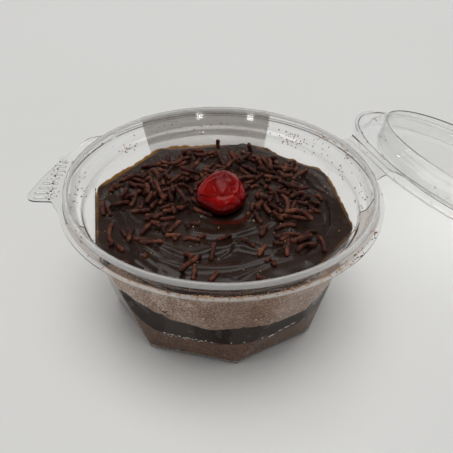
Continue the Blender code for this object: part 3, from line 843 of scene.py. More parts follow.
# In these blocks the fudge is painted greyer: a painted reflection of the wall's inner face.
feed(tree, "Base Color", blended(tree, marked(tree, "dulled"), tint, (0.05, 0.038, 0.031)))
feed(tree, "Roughness", rescaled(tree, height, 0.35, 0.65, 0.24, 0.42))
band_edge = edge_height(layer_azimuths, band_top, BAND_LINE, 0.4, 7)
fudge_layer = layer_block("fudge_band", base_edge - LAYER_LAP, band_edge, base_top, band_top,
                          0.5, [(0.22, 0.5, 0.38, 0)], fudge_look, 23)
mark = fudge_layer.data.attributes.new("dulled", "FLOAT", "POINT")
for corner in fudge_layer.data.vertices:
    here = azimuth_of(corner.co) + 2.0 * noise.noise(corner.co * 300.0)
    reflecting = any(start < here < end for start, end in WALL_REFLECTION_BLOCKS)
    mark.data[corner.index].value = 0.9 if reflecting else 0.08
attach(fudge_layer, "tub_with_cake")
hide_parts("fudge_layer")


# Middle sponge: paler chocolate sponge, crumbled in above the band, dry and open. It is
# darker towards the front and in a few blotches.

MIDDLE_LINE = [(-165.0, 35.9), (-140.0, 36.5), (-110.0, 36.7), (-80.0, 36.5), (-50.0, 35.9)]

pale_crumb = crumb_look("pale_chocolate_crumb", [(0.16, 0.085, 0.055), (0.36, 0.255, 0.2),
                                                 (0.44, 0.29, 0.205), (0.65, 0.55, 0.49)],
                        0.85, 1250.0, 0.6)
middle_edge = edge_height(layer_azimuths, middle_top, MIDDLE_LINE, 0.5, 9)
cake_middle = layer_block("middle_sponge", band_edge - LAYER_LAP, middle_edge, band_top,
                          middle_top, 0.45, [(0.25, 0.5, 0.34, 0), (0.8, 0.35, 0.36, 1)],
                          pale_crumb, 31)
mark = cake_middle.data.attributes.new("soaked", "FLOAT", "POINT")
for corner in cake_middle.data.vertices:
    blot = 0.5 + 0.9 * noise.noise(corner.co * 170.0)
    front = math.exp(-((azimuth_of(corner.co) + 104.0) / 24.0) ** 2)
    mark.data[corner.index].value = min(max(0.55 * front + 0.22 * (blot - 0.3), 0.0), 0.75)
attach(cake_middle, "tub_with_cake")
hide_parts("cake_middle")


# Trapped air and syrup: flat bubbles caught between the layers' edges and the clear wall,
# painted pale as a painted glint, and one smear of red-brown syrup beside the pale sponge.

BUBBLES = [
    # azimuth, height, half length along the wall and half height (mm)
    (-139.0, 13.2, 0.58, 0.35), (-137.2, 12.6, 0.36, 0.32), (-135.4, 13.0, 0.80, 0.32),
    (-133.5, 12.4, 0.32, 0.32), (-131.6, 12.9, 0.51, 0.40), (-129.5, 12.3, 0.43, 0.29),
    (-127.6, 12.8, 0.87, 0.32), (-125.0, 12.3, 0.36, 0.35), (-123.2, 12.9, 0.43, 0.32),
    (-120.6, 12.6, 0.65, 0.32), (-118.4, 13.3, 0.36, 0.32), (-136.0, 11.6, 0.29, 0.26),
    (-128.8, 11.4, 0.32, 0.26), (-122.0, 11.7, 0.29, 0.26), (-115.6, 12.9, 0.43, 0.29),
    (-85.6, 11.4, 1.23, 0.48), (-80.4, 12.3, 1.01, 0.42), (-76.6, 12.9, 1.59, 0.42),
    (-73.2, 13.5, 1.16, 0.38), (-91.2, 12.2, 0.36, 0.32), (-100.3, 12.6, 0.32, 0.32),
    (-106.5, 13.0, 0.29, 0.29), (-147.0, 24.0, 0.43, 0.40), (-119.0, 27.2, 0.43, 0.32),
    (-96.0, 24.2, 0.41, 0.32), (-84.5, 23.1, 0.43, 0.35), (-66.0, 23.8, 0.51, 0.32),
]
SMEARS = [(-140.6, 27.3, 0.6, 0.3), (-138.7, 26.4, 0.9, 0.35), (-136.6, 25.6, 0.8, 0.4),
          (-134.4, 24.9, 0.7, 0.3), (-137.6, 27.4, 0.5, 0.25), (-143.0, 26.6, 0.5, 0.25),
          (-135.2, 26.6, 0.35, 0.2)]


def wall_at(azimuth, level):
    """Radius of the inside of the wall at one place."""
    return float(wall_reach(np.array(azimuth), np.array(level)))


def wall_blobs(name, blobs, material, body):
    """Flat rounded blobs against the inside of the wall, as one piece."""
    builder = bmesh.new()
    for azimuth, level, half_length, half_height in blobs:
        reach = wall_at(azimuth, level)
        spot = polar(reach - 0.04, azimuth, level)
        along = polar(1.0, azimuth + 90.0)
        above = polar(wall_at(azimuth, level + 1.0), azimuth, level + 1.0)
        upward = (above - polar(reach, azimuth, level)).normalized()
        outward = along.cross(upward).normalized()
        made = bmesh.ops.create_icosphere(builder, subdivisions=3, radius=1.0)
        for corner in made["verts"]:
            unit = corner.co.copy()
            ragged = 1 + 0.3 * noise.noise(unit * 1.3 + spot)
            corner.co = (spot + along * (unit.x * half_length * ragged)
                         + upward * (unit.y * half_height * ragged) + outward * (unit.z * 0.24))
    bmesh.ops.transform(builder, matrix=Matrix.Scale(MM, 4), verts=builder.verts)
    mesh = mesh_from(name, builder, material)
    mesh.shade_smooth()
    made = placed(name, mesh)
    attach(made, body)


# The bubbles are painted pale: a painted glint where trapped air shines against the wall.
bubble_glint_look = grained("trapped_air_glints", 0.3, 1.4, 0.5, (2600.0, 400.0, 0.5),
                      [(0.35, (0.6, 0.55, 0.5)), (0.65, (0.95, 0.93, 0.9))], (0.3, 0.0001))[0]
wall_blobs("trapped_air_glints", BUBBLES, bubble_glint_look, "tub_with_cake")
syrup_look = grained("syrup_smear", 0.3, 1.4, 0.2, (2200.0, 500.0, 0.5),
                     [(0.35, (0.045, 0.013, 0.01)), (0.65, (0.12, 0.045, 0.03))],
                     (0.3, 0.0001))[0]
wall_blobs("syrup_smear", SMEARS, syrup_look, "tub_with_cake")


# Fudge topping: the same fudge, spooned over the sponge and swirled with a knife. Its edge
# climbs the wall a little and dries there as a thin film, painted amber: partly its own colour,
# partly painted light shining through it.

TOPPING_COLUMNS, TOPPING_ROWS = 480, 12
TOPPING_UNDERSIDE = 33.9
STRAIGHT_WALL_TOP = 39.4    # above it the wall arches, and the topping goes straight up
FILM_MIDDLE, FILM_REACH = 112.0, 52.0   # the widest stretch of amber film, in degrees
TOPPING_HEIGHT, TOPPING_EDGE_HEIGHT = 38.2, 38.6
SWIRLS = [
    # points along the ridge, height, width on its outer and inner side (mm)
    ([(-26.2, -12.4), (-21.1, -19.6), (-17, -21.2), (-11.2, -21.1), (-2.1, -22.3), (1.1, -26.1),
      (6.9, -30.7)], 0.75, 1.1, 3.4),
    ([(-32.4, -14.6), (-29.8, -20.7), (-24.8, -26.1), (-16.7, -29.2), (-6.1, -31.8),
      (6.6, -31.4), (16.0, -27.5)], 0.85, 1.2, 3.8),
    ([(-9.6, -36.7), (-2.8, -34.8), (4, -33.5), (12, -33.0)], 0.5, 1.0, 2.2),
    ([(-37.3, 19.1), (-35.1, 23.7), (-30.7, 24.9), (-26.5, 21.5)], 0.9, 2.0, 3.6),
    ([(-32.9, 9.6), (-32.9, 2.8), (-34.6, -6.2), (-34.7, -15.9), (-31.0, -24.0)], 0.6, 1.4, 3.0),
    ([(38.0, 12.0), (37.3, 1.7), (39.2, -4.1), (36.3, -13.8), (32.1, -21.5), (25.3, -27.7),
      (16.6, -32.7)], -0.55, 0.8, 1.2),
    ([(41.6, 10.0), (42.0, -3.0), (39.6, -15.5), (34.5, -25.0), (27.0, -32.0),
      (17.0, -37.5)], 0.55, 3.0, 2.6),
    ([(-1.9, -18.3), (-6.8, -23.9), (-11.1, -25.5)], 0.4, 0.6, 1.2),
    ([(8.5, -8.9), (10.2, -6.9), (13.2, -5.2), (14.6, -2.0)], 0.9, 0.8, 1.6),
    ([(10.0, -14.5), (16.0, -12.5), (21.0, -7.0)], 0.4, 1.0, 2.4),
    ([(-14.0, -9.0), (-8.5, -13.5), (-1.0, -15.5), (7.0, -14.5)], 0.55, 1.0, 2.6),
    ([(20.0, 2.0), (24.0, -5.0), (24.0, -13.0), (19.0, -20.0)], 0.45, 1.2, 3.0),
    ([(-20.0, 28.0), (-6.0, 33.5), (10.0, 34.0), (24.0, 27.0)], 0.5, 2.4, 3.4),
    ([(28.0, 22.0), (33.0, 13.0), (33.5, 4.0)], 0.55, 1.6, 3.0),
]
CHERRY_MIDDLE = (1.3, 3.0)


def nearest_on_line(x, y, line):
    """Distance of points to an open line, and its nearest point's distance to the middle."""
    best = np.full(x.shape, 1e9)
    radius = np.zeros(x.shape)
    for (ax, ay), (bx, by) in zip(line, line[1:]):
        dx, dy = bx - ax, by - ay
        share = np.clip(((x - ax) * dx + (y - ay) * dy) / (dx * dx + dy * dy), 0, 1)
        away = np.hypot(x - ax - share * dx, y - ay - share * dy)
        nearer = away < best
        best = np.where(nearer, away, best)
        radius = np.where(nearer, np.hypot(ax + share * dx, ay + share * dy), radius)
    return best, radius


def fudge_height(x, y):
    """Height of the spread fudge, in millimetres. Takes arrays."""
    radius = np.hypot(x, y)
    turn = np.arctan2(y, x)
    ridge = np.sin(2 * math.pi * radius / 13.0 - turn + 0.8)
    inner = np.clip(radius / 14.0, 0, 1) * np.clip((44.0 - radius) / 6.0, 0, 1)
    level = TOPPING_HEIGHT + 0.28 * ridge * inner
    for line, tall, outer_width, inner_width in SWIRLS:
        away, line_radius = nearest_on_line(x, y, line)
        width = np.where(radius > line_radius, outer_width, 1.1 * inner_width)
        level = level + 1.65 * tall * np.exp(-(away / width) ** 2)
    for phase, size, stretch in ((0.4, 0.16, 0.21), (2.2, 0.1, 0.43), (4.1, 0.06, 0.83)):
        level = level + size * np.sin(stretch * x + phase) * np.cos(stretch * 0.9 * y - phase)
    climb = np.exp(-((turn - math.radians(25.0)) / math.radians(14.0)) ** 2)
    edge = np.clip((radius - 41.0) / 5.0, 0, 1)
    level = level + (0.35 + 0.55 * climb) * edge ** 2
    from_cherry = np.hypot(x - CHERRY_MIDDLE[0], y - CHERRY_MIDDLE[1])
    level = level + 0.5 * np.exp(-((from_cherry - 9.0) / 1.5) ** 2)
    level = level - 2.2 * np.exp(-(from_cherry / 6.0) ** 6)
    hole = np.hypot((x + 35.3) / 1.9, (y - 14.4) / 1.1)
    return level - 1.6 * np.exp(-hole ** 4)


def fudge_at(spot):
    return float(fudge_height(np.array([spot[0]]), np.array([spot[1]]))[0])


def rounded_reach(azimuths, level):
    """The wall's inside with its corners rounded off, as the stiff fudge fills them."""
    wall = wall_reach(azimuths, level)
    either_side = wall_reach(azimuths - 5.0, level) + wall_reach(azimuths + 5.0, level)
    return np.minimum(wall, 0.5 * wall + 0.25 * either_side) + INTO_WALL


azimuths = np.arange(TOPPING_COLUMNS) * 360.0 / TOPPING_COLUMNS - 180.0
low = edge_height(azimuths, middle_top, MIDDLE_LINE, 0.5, 9) - LAYER_LAP
rim_reach = rounded_reach(azimuths, TOPPING_EDGE_HEIGHT)
rim_level = fudge_height(*round_middle(rim_reach, azimuths))
spots = ring(LINE_RADIUS, azimuths, 0.0)
film = speckle(spots, 0.18, 41) * 0.5 + 0.35
film += 0.5 * np.clip(1 - ((azimuths - FILM_MIDDLE) / FILM_REACH) ** 4, 0, 1)
film += speckle(spots, 0.45, 42) * 0.7
film = np.clip(film, 0.05, 1.7)
grid = [ring(wall_reach(azimuths, low) * share, azimuths, TOPPING_UNDERSIDE)
        for share in (0.3, 0.7, 0.93)]
for row in range(TOPPING_ROWS + 1):
    level = low + (rim_level + film - low) * row / TOPPING_ROWS
    inset = EDGE_INSET if row == 0 else 0.0
    reach = rounded_reach(azimuths, np.minimum(level, STRAIGHT_WALL_TOP)) - inset
    grid.append(ring(reach, azimuths, level))
shares = [0.997, 0.992, 0.985, 0.977] + [0.968 * (1 - step / 150) for step in range(149)]
for share in shares:
    x, y = round_middle(rim_reach * share, azimuths)
    meniscus = film * math.exp(-(1 - share) * 110)
    grid.append(np.stack([x, y, fudge_height(x, y) + meniscus], 1))
topping = closed_block("fudge_topping", np.stack(grid, 1), fudge_at((0.0, 0.0)),
                       TOPPING_UNDERSIDE, fudge_look, False)

topping_look, tree, height, tint = grained(
    "swirled_fudge", 0.3, 1.5, 0.24, (520.0, 70.0, 0.5),
    [(0.35, (0.0165, 0.0078, 0.0051)), (0.7, (0.0285, 0.015, 0.0103))], (0.25, 0.0005))
# The thin edge is painted amber: partly the film's own colour, partly painted light passing through
# it from behind.
backlit_amber = blended(tree, marked(tree, "thin_edge"), tint, (0.3, 0.145, 0.035))
feed(tree, "Base Color", blended(tree, marked(tree, "red_juice"), backlit_amber, (0.11, 0.006, 0.004)))
feed(tree, "Roughness", rescaled(tree, height, 0.35, 0.65, 0.16, 0.3))
topping.data.materials.append(topping_look)
for face in topping.data.polygons:
    face.material_index = 1 if face.center.z > 37.4 * MM and face.normal.z > 0.05 else 0
mark = topping.data.attributes.new("thin_edge", "FLOAT", "POINT")
stain = topping.data.attributes.new("red_juice", "FLOAT", "POINT")
for corner in topping.data.vertices:
    x, y, z = corner.co / MM
    here = azimuth_of((x, y))
    away = wall_at(here, min(z, STRAIGHT_WALL_TOP)) - math.hypot(x, y)
    patchy = max(0.4 + 0.9 * noise.noise(Vector((x, y, 0)) * 0.12), 0.0)
    patchy = max(patchy, 1 - (abs(here - FILM_MIDDLE) / FILM_REACH) ** 4,
                 0.6 - (abs(here) / 34.0) ** 4)
    from_cherry = math.hypot(x - 1.9, y - 1.7)
    pool = 1 - abs(from_cherry - 10.2 - 0.9 * noise.noise(Vector((x, y, 3.0)) * 0.3)) / 1.5
    ahead = 1 - (abs(here + 70.0) / 75.0) ** 4
    stain.data[corner.index].value = min(max(pool, 0.0), 1.0) * max(ahead, 0.0) * 0.55
    level = min(max(z - 38.25, 0.0) / 0.45, 1.0)
    mark.data[corner.index].value = min(max(1.2 - away / 0.8, 0.0) * level * patchy, 1.0)
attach(topping, "tub_with_cake")
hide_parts("fudge_top")


# Sprinkles: short extruded chocolate strands, a little bent and lumpy, thrown over the fudge
# round the cherry while it was soft. They lie on it and on each other.

LUMP_HEIGHT = 0.85
SPRINKLE_RADIUS = 0.8
LYING_HEIGHT = 0.35         # how far a strand's middle line lies above the fudge
STACKING = 1.45             # how far apart the middle lines of two touching strands lie
PLACED = [
    # x and y of the two ends, or of an end, the middle and the other end (mm)
    (-26.1, -28.9, -16.0, -22.1), (-23.0, -32.7, -20.3, -28.0), (-33.7, -10.3, -25.7, -11.6),
    (-38.7, 5.9, -41.4, 0.3, -41.6, -4.4), (-40.2, -6.6, -39.0, -10.6),
    (15.5, -10.0, 21.1, -14.1, 26.4, -19.2), (-26.6, 33.2, -23.4, 28.3, -20.4, 24.2),
    (-26.4, 27.6, -21.9, 20.5), (-29.0, 26.4, -32.7, 24.2), (-32.8, 23.9, -34.4, 22.7),
    (-26.7, 26.6, -24.8, 22.3), (-17.4, 30.5, -18.6, 23.6), (-16.6, 30.6, -15.0, 28.9, -15.3, 25.3),
    (-17.8, 32.6, -13.9, 34.6), (-13.1, 32.0, -11.3, 29.0), (-12.4, 27.9, -14.6, 22.1),
    (-9.8, 28.5, -13.7, 25.4), (-13.3, 21.6, -6.1, 26.3), (-16.7, 18.6, -12.2, 19.1, -6.2, 20.4),
    (-21.4, 23.2, -15.9, 23.3), (-19.7, 24.0, -18.7, 17.2, -15.6, 12.3), (-19.0, 19.8, -16.2, 21.3),
    (-23.7, 17.7, -20.3, 19.2), (-26.1, 19.3, -28.0, 15.2, -30.2, 12.7),
    (-24.4, 13.5, -22.1, 13.7, -17.7, 16.5), (-25.5, 13.6, -27.6, 10.4),
    (-30.8, 8.7, -27.7, 8.8, -24.0, 8.7), (-23.6, 8.3, -21.8, 10.9, -19.7, 12.8),
    (-20.1, 10.3, -16.2, 12.9), (-15.3, 13.2, -15.0, 9.7), (-20.8, 7.5, -17.5, 7.9, -14.9, 8.3),
    (-12.4, 16.3, -14.5, 11.6), (-26.7, 5.9, -23.4, 4.6, -20.6, 4.2),
    (-27.7, 3.7, -24.9, 3.3, -22.0, 3.2), (-22.9, 1.0, -19.8, 1.0, -17.0, 1.0),
    (-20.7, 3.9, -17.9, 4.5, -16.2, 4.9), (-16.6, 5.0, -16.6, 1.7),
    (-22.0, -6.8, -18.8, -3.7, -16.0, -1.0), (-23.8, -6.7, -22.4, -3.0, -20.5, -2.4),
    (-27.0, 0.3, -25.0, 0.8, -23.6, -0.7), (-31.3, -4.5, -28.7, -1.8, -26.6, -0.8),
    (-26.7, -1.1, -25.1, -1.9, -24.4, -4.1), (-23.9, -8.1, -21.6, -8.7, -18.7, -9.8),
    (-18.9, -12.4, -16.4, -12.4, -13.8, -15.2), (-13.5, -12.4, -10.7, -12.8),
    (-15.2, -3.5, -12.8, -4.4, -10.3, -5.9), (-15.0, 5.1, -13.3, 5.7, -11.5, 6.4),
    (-12.5, 13.5, -11.2, 9.6, -10.4, 5.3), (-11.6, 12.9, -8.2, 14.7, -6.2, 12.6),
    (-7.4, 10.3, -7.2, 6.8, -6.4, 3.5), (-9.5, 3.6, -7.1, -0.2, -4.5, -3.4),
    (1.5, 38.4, 0.8, 33.0, -1.4, 27.6), (-1.6, 40.4, -1.4, 36.3), (-6.2, 41.3, -7.4, 37.7),
    (-0.6, 40.8, 2.3, 41.8), (3.5, 34.5, 7.0, 37.2, 8.7, 38.2), (3.5, 27.8, 5.8, 27.3, 8.6, 29.0),
    (-3.2, 27.5, -1.4, 24.6, -0.2, 21.2), (-6.9, 19.6, -3.5, 22.4), (-4.4, 20.9, -1.4, 20.1),
    (-0.7, 25.5, 0.6, 22.3, 0.7, 19.3), (-2.7, 17.7, 0.2, 18.1, 2.7, 19.3),
    (-4.8, 14.2, -3.3, 17.2), (2.1, 26.3, 3.9, 23.4, 5.5, 21.3), (3.9, 23.4, 6.9, 23.8),
    (-6.3, 25.7, -3.8, 22.5), (8.6, 33.4, 12.2, 34.9), (7.7, 34.5, 11.0, 34.5),
    (11.7, 34.3, 11.6, 29.1, 11.8, 25.9), (16.9, 33.6, 15.8, 29.9, 14.1, 25.4),
    (17.1, 34.7, 17.2, 30.2, 18.2, 25.4), (19.2, 34.0, 19.7, 30.9, 19.6, 27.7),
    (21.7, 30.6, 22.9, 27.3, 24.6, 24.3), (23.6, 25.9, 26.3, 28.5), (26.1, 26.1, 24.6, 21.5),
    (26.8, 24.3, 27.7, 21.5, 27.8, 17.6), (24.1, 21.3, 25.1, 17.8),
    (28.0, 17.1, 31.5, 16.6, 34.6, 14.7), (35.4, 20.3, 34.2, 16.8),
    (37.4, 20.4, 38.6, 16.6, 35.8, 12.8), (35.9, 16.3, 38.6, 18.1),
    (32.6, 6.7, 35.7, 9.5, 41.0, 11.6), (17.0, 23.1, 17.6, 19.1, 19.1, 16.6),
    (17.8, 22.5, 21.0, 20.1), (18.9, 20.1, 21.7, 16.8), (15.9, 17.1, 18.3, 15.0),
    (14.3, 18.4, 14.7, 13.4), (10.0, 21.9, 12.5, 22.1, 14.2, 20.0),
    (13.3, 12.1, 18.2, 12.8, 23.9, 16.0), (21.7, 16.8, 25.1, 15.9, 28.6, 14.2),
    (22.8, 13.7, 26.6, 10.9, 29.9, 8.1), (28.8, 13.8, 30.7, 9.7), (15.3, 8.1, 17.5, 9.4, 19.1, 9.2),
    (12.8, 8.3, 15.0, 8.2), (20.4, 11.3, 22.2, 7.0, 22.8, 2.5), (24.8, 4.6, 30.5, 4.2, 31.8, -1.6),
    (27.4, 2.9, 24.6, 1.5, 22.8, 1.1), (30.9, 5.9, 33.2, 3.6), (27.2, -3.3, 30.3, -0.3),
    (30.6, -1.5, 31.8, -4.0, 34.0, -4.5), (29.7, -5.6, 32.0, -5.1),
    (35.9, -4.5, 37.3, -5.4, 37.0, -7.7), (30.3, -9.2, 31.7, -12.1, 33.5, -14.1),
    (15.3, 0.8, 17.8, 0.2, 20.9, -0.3), (20.5, 3.3, 21.2, 0.3), (11.4, -3.8, 13.4, -3.9),
    (15.7, -3.1, 15.0, -6.8, 14.8, -10.3), (17.1, -3.3, 18.0, -7.3, 18.6, -11.8),
    (19.0, -2.6, 19.5, -6.5), (21.1, -0.3, 19.8, -6.0), (21.8, -3.4, 23.0, -7.2, 20.3, -12.0),
    (24.2, -2.2, 25.4, -6.1), (26.6, -6.5, 24.2, -9.6, 21.8, -13.3), (19.3, -7.8, 20.1, -9.4),
    (24.5, -11.1, 24.0, -13.8), (15.3, -10.8, 16.5, -12.9, 17.8, -14.3),
    (18.4, -14.2, 24.2, -14.8, 25.9, -20.8), (26.9, -15.8, 27.4, -17.9), (27.1, -10.7, 26.4, -13.7),
    (26.5, -13.4, 28.6, -14.9), (13.0, -18.1, 17.3, -17.6, 19.8, -20.4),
    (10.5, -7.1, 9.7, -10.7, 10.1, -13.3), (7.0, -19.2, 9.3, -16.7, 11.4, -14.7),
    (13.8, -22.6, 17.1, -22.7, 20.6, -24.3), (22.7, -23.3, 24.7, -23.1, 25.9, -24.5),
    (14.4, -27.5, 18.5, -26.2, 22.5, -24.4), (11.5, -25.0, 13.7, -24.3, 15.6, -24.2),
    (17.1, -28.0, 20.4, -26.9, 23.4, -25.6), (9.3, -24.5, 10.1, -26.2, 11.7, -27.7),
    (10.2, -23.6, 12.1, -23.7), (13.8, -26.7, 12.1, -29.5, 9.9, -33.2),
    (14.6, -31.6, 18.7, -29.4, 22.4, -31.1), (25.5, -26.8, 24.9, -30.7, 22.8, -36.0),
    (0.5, -18.2, 1.0, -21.9, 1.5, -26.1), (1.1, -29.9, 3.2, -28.4, 5.2, -27.2),
    (-8.0, -16.2, -5.4, -16.0, -2.6, -15.6), (2.3, -33.6, 4.5, -32.8), (4.7, -34.2, 4.4, -36.0),
    (-14.2, -25.7, -12.3, -23.1, -10.4, -19.6), (-18.2, -35.2, -15.9, -33.5, -13.5, -31.8),
    (-3.2, -38.3, -2.1, -39.3, -1.0, -40.7), (10.5, 3.6, 12.7, 4.9),
    (-38.6, 15.9, -38.2, 13.1, -38.0, 10.4), (-39.2, 16.6, -40.4, 11.0),
    (-36.7, 1.2, -36.5, -1.9, -36.0, -4.4), (-33.0, -1.4, -34.9, -4.3, -36.6, -7.7),
    (-34.6, -7.3, -32.0, -8.0, -29.4, -8.7), (-13.1, 25.2, -11.7, 22.8), (-24.1, 30.0, -20.9, 30.3),
    (-21.3, 14.8, -24.4, 11.2), (-9.4, 21.6, -7.9, 18.9), (1.5, 30.4, 4.7, 33.2),
    (7.0, 26.1, 8.7, 23.9), (22.0, 9.2, 24.3, 10.6), (26.3, -0.2, 28.8, 1.7),
    (-25.9, 2.4, -23.2, 1.7), (-21.2, -19.9, -19.9, -24.2), (-34.4, -17.1, -32.9, -16.6),
    (-41.9, -16.2, -39.1, -18.1), (-42.7, -6.7, -41.2, -6.2), (-25.4, 18.5, -24.0, 19.3),
    (20.4, 6.7, 21.6, 7.3), (-10.9, 6.0, -9.7, 6.2), (-15.5, -5.8, -14.2, -5.3),
    (-21.7, -11.2, -20.1, -10.3), (7.2, -6.7, 8.1, -6.4),
]
# x, y, height and lean in x and y (mm)
UPRIGHT = [(14.1, 39.0, 4.6, 0.3, 0.6), (27.0, 33.8, 3.6, -1.2, 0.5)]
SCATTERED, MOST_TRIES = 50, 20000
LUMP_PARTS = {"centred": math_part("SUBTRACT", 0.5), "sized": math_part("MULTIPLY"),
              "normal": ("GeometryNodeInputNormal", {}),
              "offset": ("ShaderNodeVectorMath", {"operation": "SCALE"})}
LUMP_WIRES = ["lump.Fac > centred.0", "centred.0 > sized.0", "normal.0 > offset.0",
              "sized.0 > offset.Scale", "offset.0 > moved.Offset"]


def resting(spine, laid):
    """Heights at which a strand lies on the fudge and on the strands laid before it."""
    needed = []
    for spot in spine:
        level = fudge_at(spot) + LYING_HEIGHT
        for other in laid:
            if abs(other[0] - spot[0]) < 1.5 and abs(other[1] - spot[1]) < 1.5:
                away = math.hypot(other[0] - spot[0], other[1] - spot[1])
                if away < STACKING:
                    rise = STACKING * math.sqrt(1 - (away / (STACKING + 0.01)) ** 2)
                    level = max(level, other[2] + rise)
        needed.append(level)
    shares = [index / (len(spine) - 1) - 0.5 for index in range(len(spine))]
    best = None
    for i, first in enumerate(shares):
        for j, second in enumerate(shares):
            if first > 0 or second < 0 or i >= j:
                continue
            slope = (needed[j] - needed[i]) / (second - first)
            middle = needed[i] - slope * first
            if all(middle + slope * s >= n - 0.12 for s, n in zip(shares, needed)):
                if best is None or middle < best[0]:
                    best = (middle, slope)
    if best is None:
        best = (max(needed), 0.0)
    return [best[0] + best[1] * share for share in shares]


rng = random.Random(7)
laid = []
strands = []


def lay(line, bend=0.0):
    """Lay one strand along a line of two or three points, with a bend to one side."""
    first, last = Vector(line[0]), Vector(line[-1])
    middle = Vector(line[1]) if len(line) == 3 else first.lerp(last, 0.5)
    across = Vector((-(last - first).y, (last - first).x)).normalized()
    middle = middle + across * bend
    spine = []
    for step in range(9):
        share = step / 8
        spot = (2 * (share - 0.5) * (share - 1) * first + 4 * share * (1 - share) * middle
                + 2 * share * (share - 0.5) * last)
        spine.append(spot)
    heights = resting(spine, laid)
    made = [Vector((spot.x, spot.y, level)) for spot, level in zip(spine, heights)]
    laid.extend(made)
    strands.append(made)


lines = [list(zip(numbers[::2], numbers[1::2])) for numbers in PLACED]
for line in lines:
    lay(line, rng.uniform(-0.3, 0.3) if len(line) == 2 else 0.0)
middles = [Vector(line[0]).lerp(Vector(line[-1]), 0.5) for line in lines]
viewed = polar(1.0, -112.5).to_2d()
tries = 0
while len(strands) < len(PLACED) + SCATTERED and tries < MOST_TRIES:
    tries += 1
    spot = polar(40.5 * math.sqrt(rng.random()), rng.uniform(0, 360)).to_2d()
    from_cherry = (spot - Vector(CHERRY_MIDDLE)).length
    if from_cherry < 10.8:
        continue
    front = spot.dot(viewed)
    if front > 2 or (spot.x > 33 and spot.y < 8):
        continue
    if spot.length > 38.5 and rng.random() < 0.55:
        continue
    dense = 0.75 if from_cherry > 24 and front > -8 else 1.0
    if rng.random() > dense:
        continue
    if any((spot - other).length < 2.1 for other in middles):
        continue
    length = rng.choice((4.2, 5.2, 6.0, 6.8, 7.6))
    heading = rng.uniform(0, math.pi)
    if from_cherry < 17 and rng.random() < 0.6:
        away = spot - Vector(CHERRY_MIDDLE)
        heading = math.atan2(away.x, -away.y) + rng.uniform(-0.4, 0.4)
    along = Vector((math.cos(heading), math.sin(heading))) * length / 2
    ends = [spot - along, spot + along]
    if any((end - Vector(CHERRY_MIDDLE)).length < 9.6 or end.length > 43.0 for end in ends):
        continue
    middles.append(spot)
    lay(ends, rng.uniform(-1.0, 1.0) * length * 0.14)
for x, y, tall, lean_x, lean_y in UPRIGHT:
    foot = fudge_at((x, y))
    strands.append([Vector((x + lean_x * s, y + lean_y * s, foot - 1.5 + (tall + 1.5) * s))
                    for s in (0.0, 0.25, 0.5, 0.75, 1.0)])

strand_look = grained("chocolate_strand", 0.52, 1.45, 0.2, (1700.0, 260.0, 0.4),
                      [(0.36, (0.022, 0.0058, 0.0037)), (0.5, (0.066, 0.0175, 0.011)),
                       (0.7, (0.16, 0.055, 0.028))], (0.8, 0.0004))[0]
strand_tree = bar_tree(
    "chocolate_strands", [("Radius", "Float"), ("Lumps", "Float")], 30, 12,
    [(0.0, 0.3), (0.04, 0.82), (0.11, 1.0), (0.89, 1.0), (0.96, 0.82), (1.0, 0.3)],
    {"lump": ("ShaderNodeTexNoise", {"Scale": 1300.0, "Detail": 2.0}), **LUMP_PARTS},
    ["in.Radius > outline.Radius", "in.Lumps > sized.1", *LUMP_WIRES])
points, edges = [], []
for strand in strands:
    for index, spot in enumerate(strand):
        if index:
            edges.append((len(points) - 1, len(points)))
        points.append(tuple(spot * MM))
sprinkles = grown("sprinkles", points, edges, strand_tree,
                  {"Radius": SPRINKLE_RADIUS * MM, "Lumps": LUMP_HEIGHT * MM,
                   "Material": strand_look})
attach(sprinkles, "tub_with_cake")
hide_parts("fudge_top")


# Cherry: one candied cherry, steeped in red syrup until it is clear at its edges, wrinkled
# and drawn up where its stone was taken out, and pressed a little into the fudge.

CHERRY_CENTRE = (*CHERRY_MIDDLE, 42.3)
FRONT_UP = Vector((0.2134, 0.5675, 0.7952))
FOLDS = [
    # line across the side that faces the front (mm right, mm up), depth, width
    ([(-8.2, -0.6), (-5.0, -1.2), (-1.2, -0.3), (0.4, -0.8), (2.8, -0.3), (4.6, 0.4),
      (6.3, -1.6), (8.4, -3.0)], 0.5, 0.75),
    ([(1.1, 6.4), (2.8, 3.8), (2.7, 0.9)], 0.5, 0.6),
    ([(3.8, 3.3), (4.3, 1.9)], 0.85, 0.8),
    ([(5.7, 4.9), (5.9, 2.1), (5.2, 0.6)], -0.5, 0.42),
    ([(7.2, 3.6), (7.5, 0.8)], 0.5, 0.6),
    ([(1.0, -3.6), (2.6, -2.7), (4.4, -2.8)], -0.4, 0.4),
    ([(-0.2, -0.1), (0.6, 0.5), (1.0, 1.4)], -0.35, 0.4),
    ([(-4.8, 4.4), (-1.6, 5.9), (0.8, 7.4)], -0.3, 0.45),
    ([(-2.6, 3.2), (-1.8, 1.4), (-1.7, 0.2)], 0.2, 0.5),
]

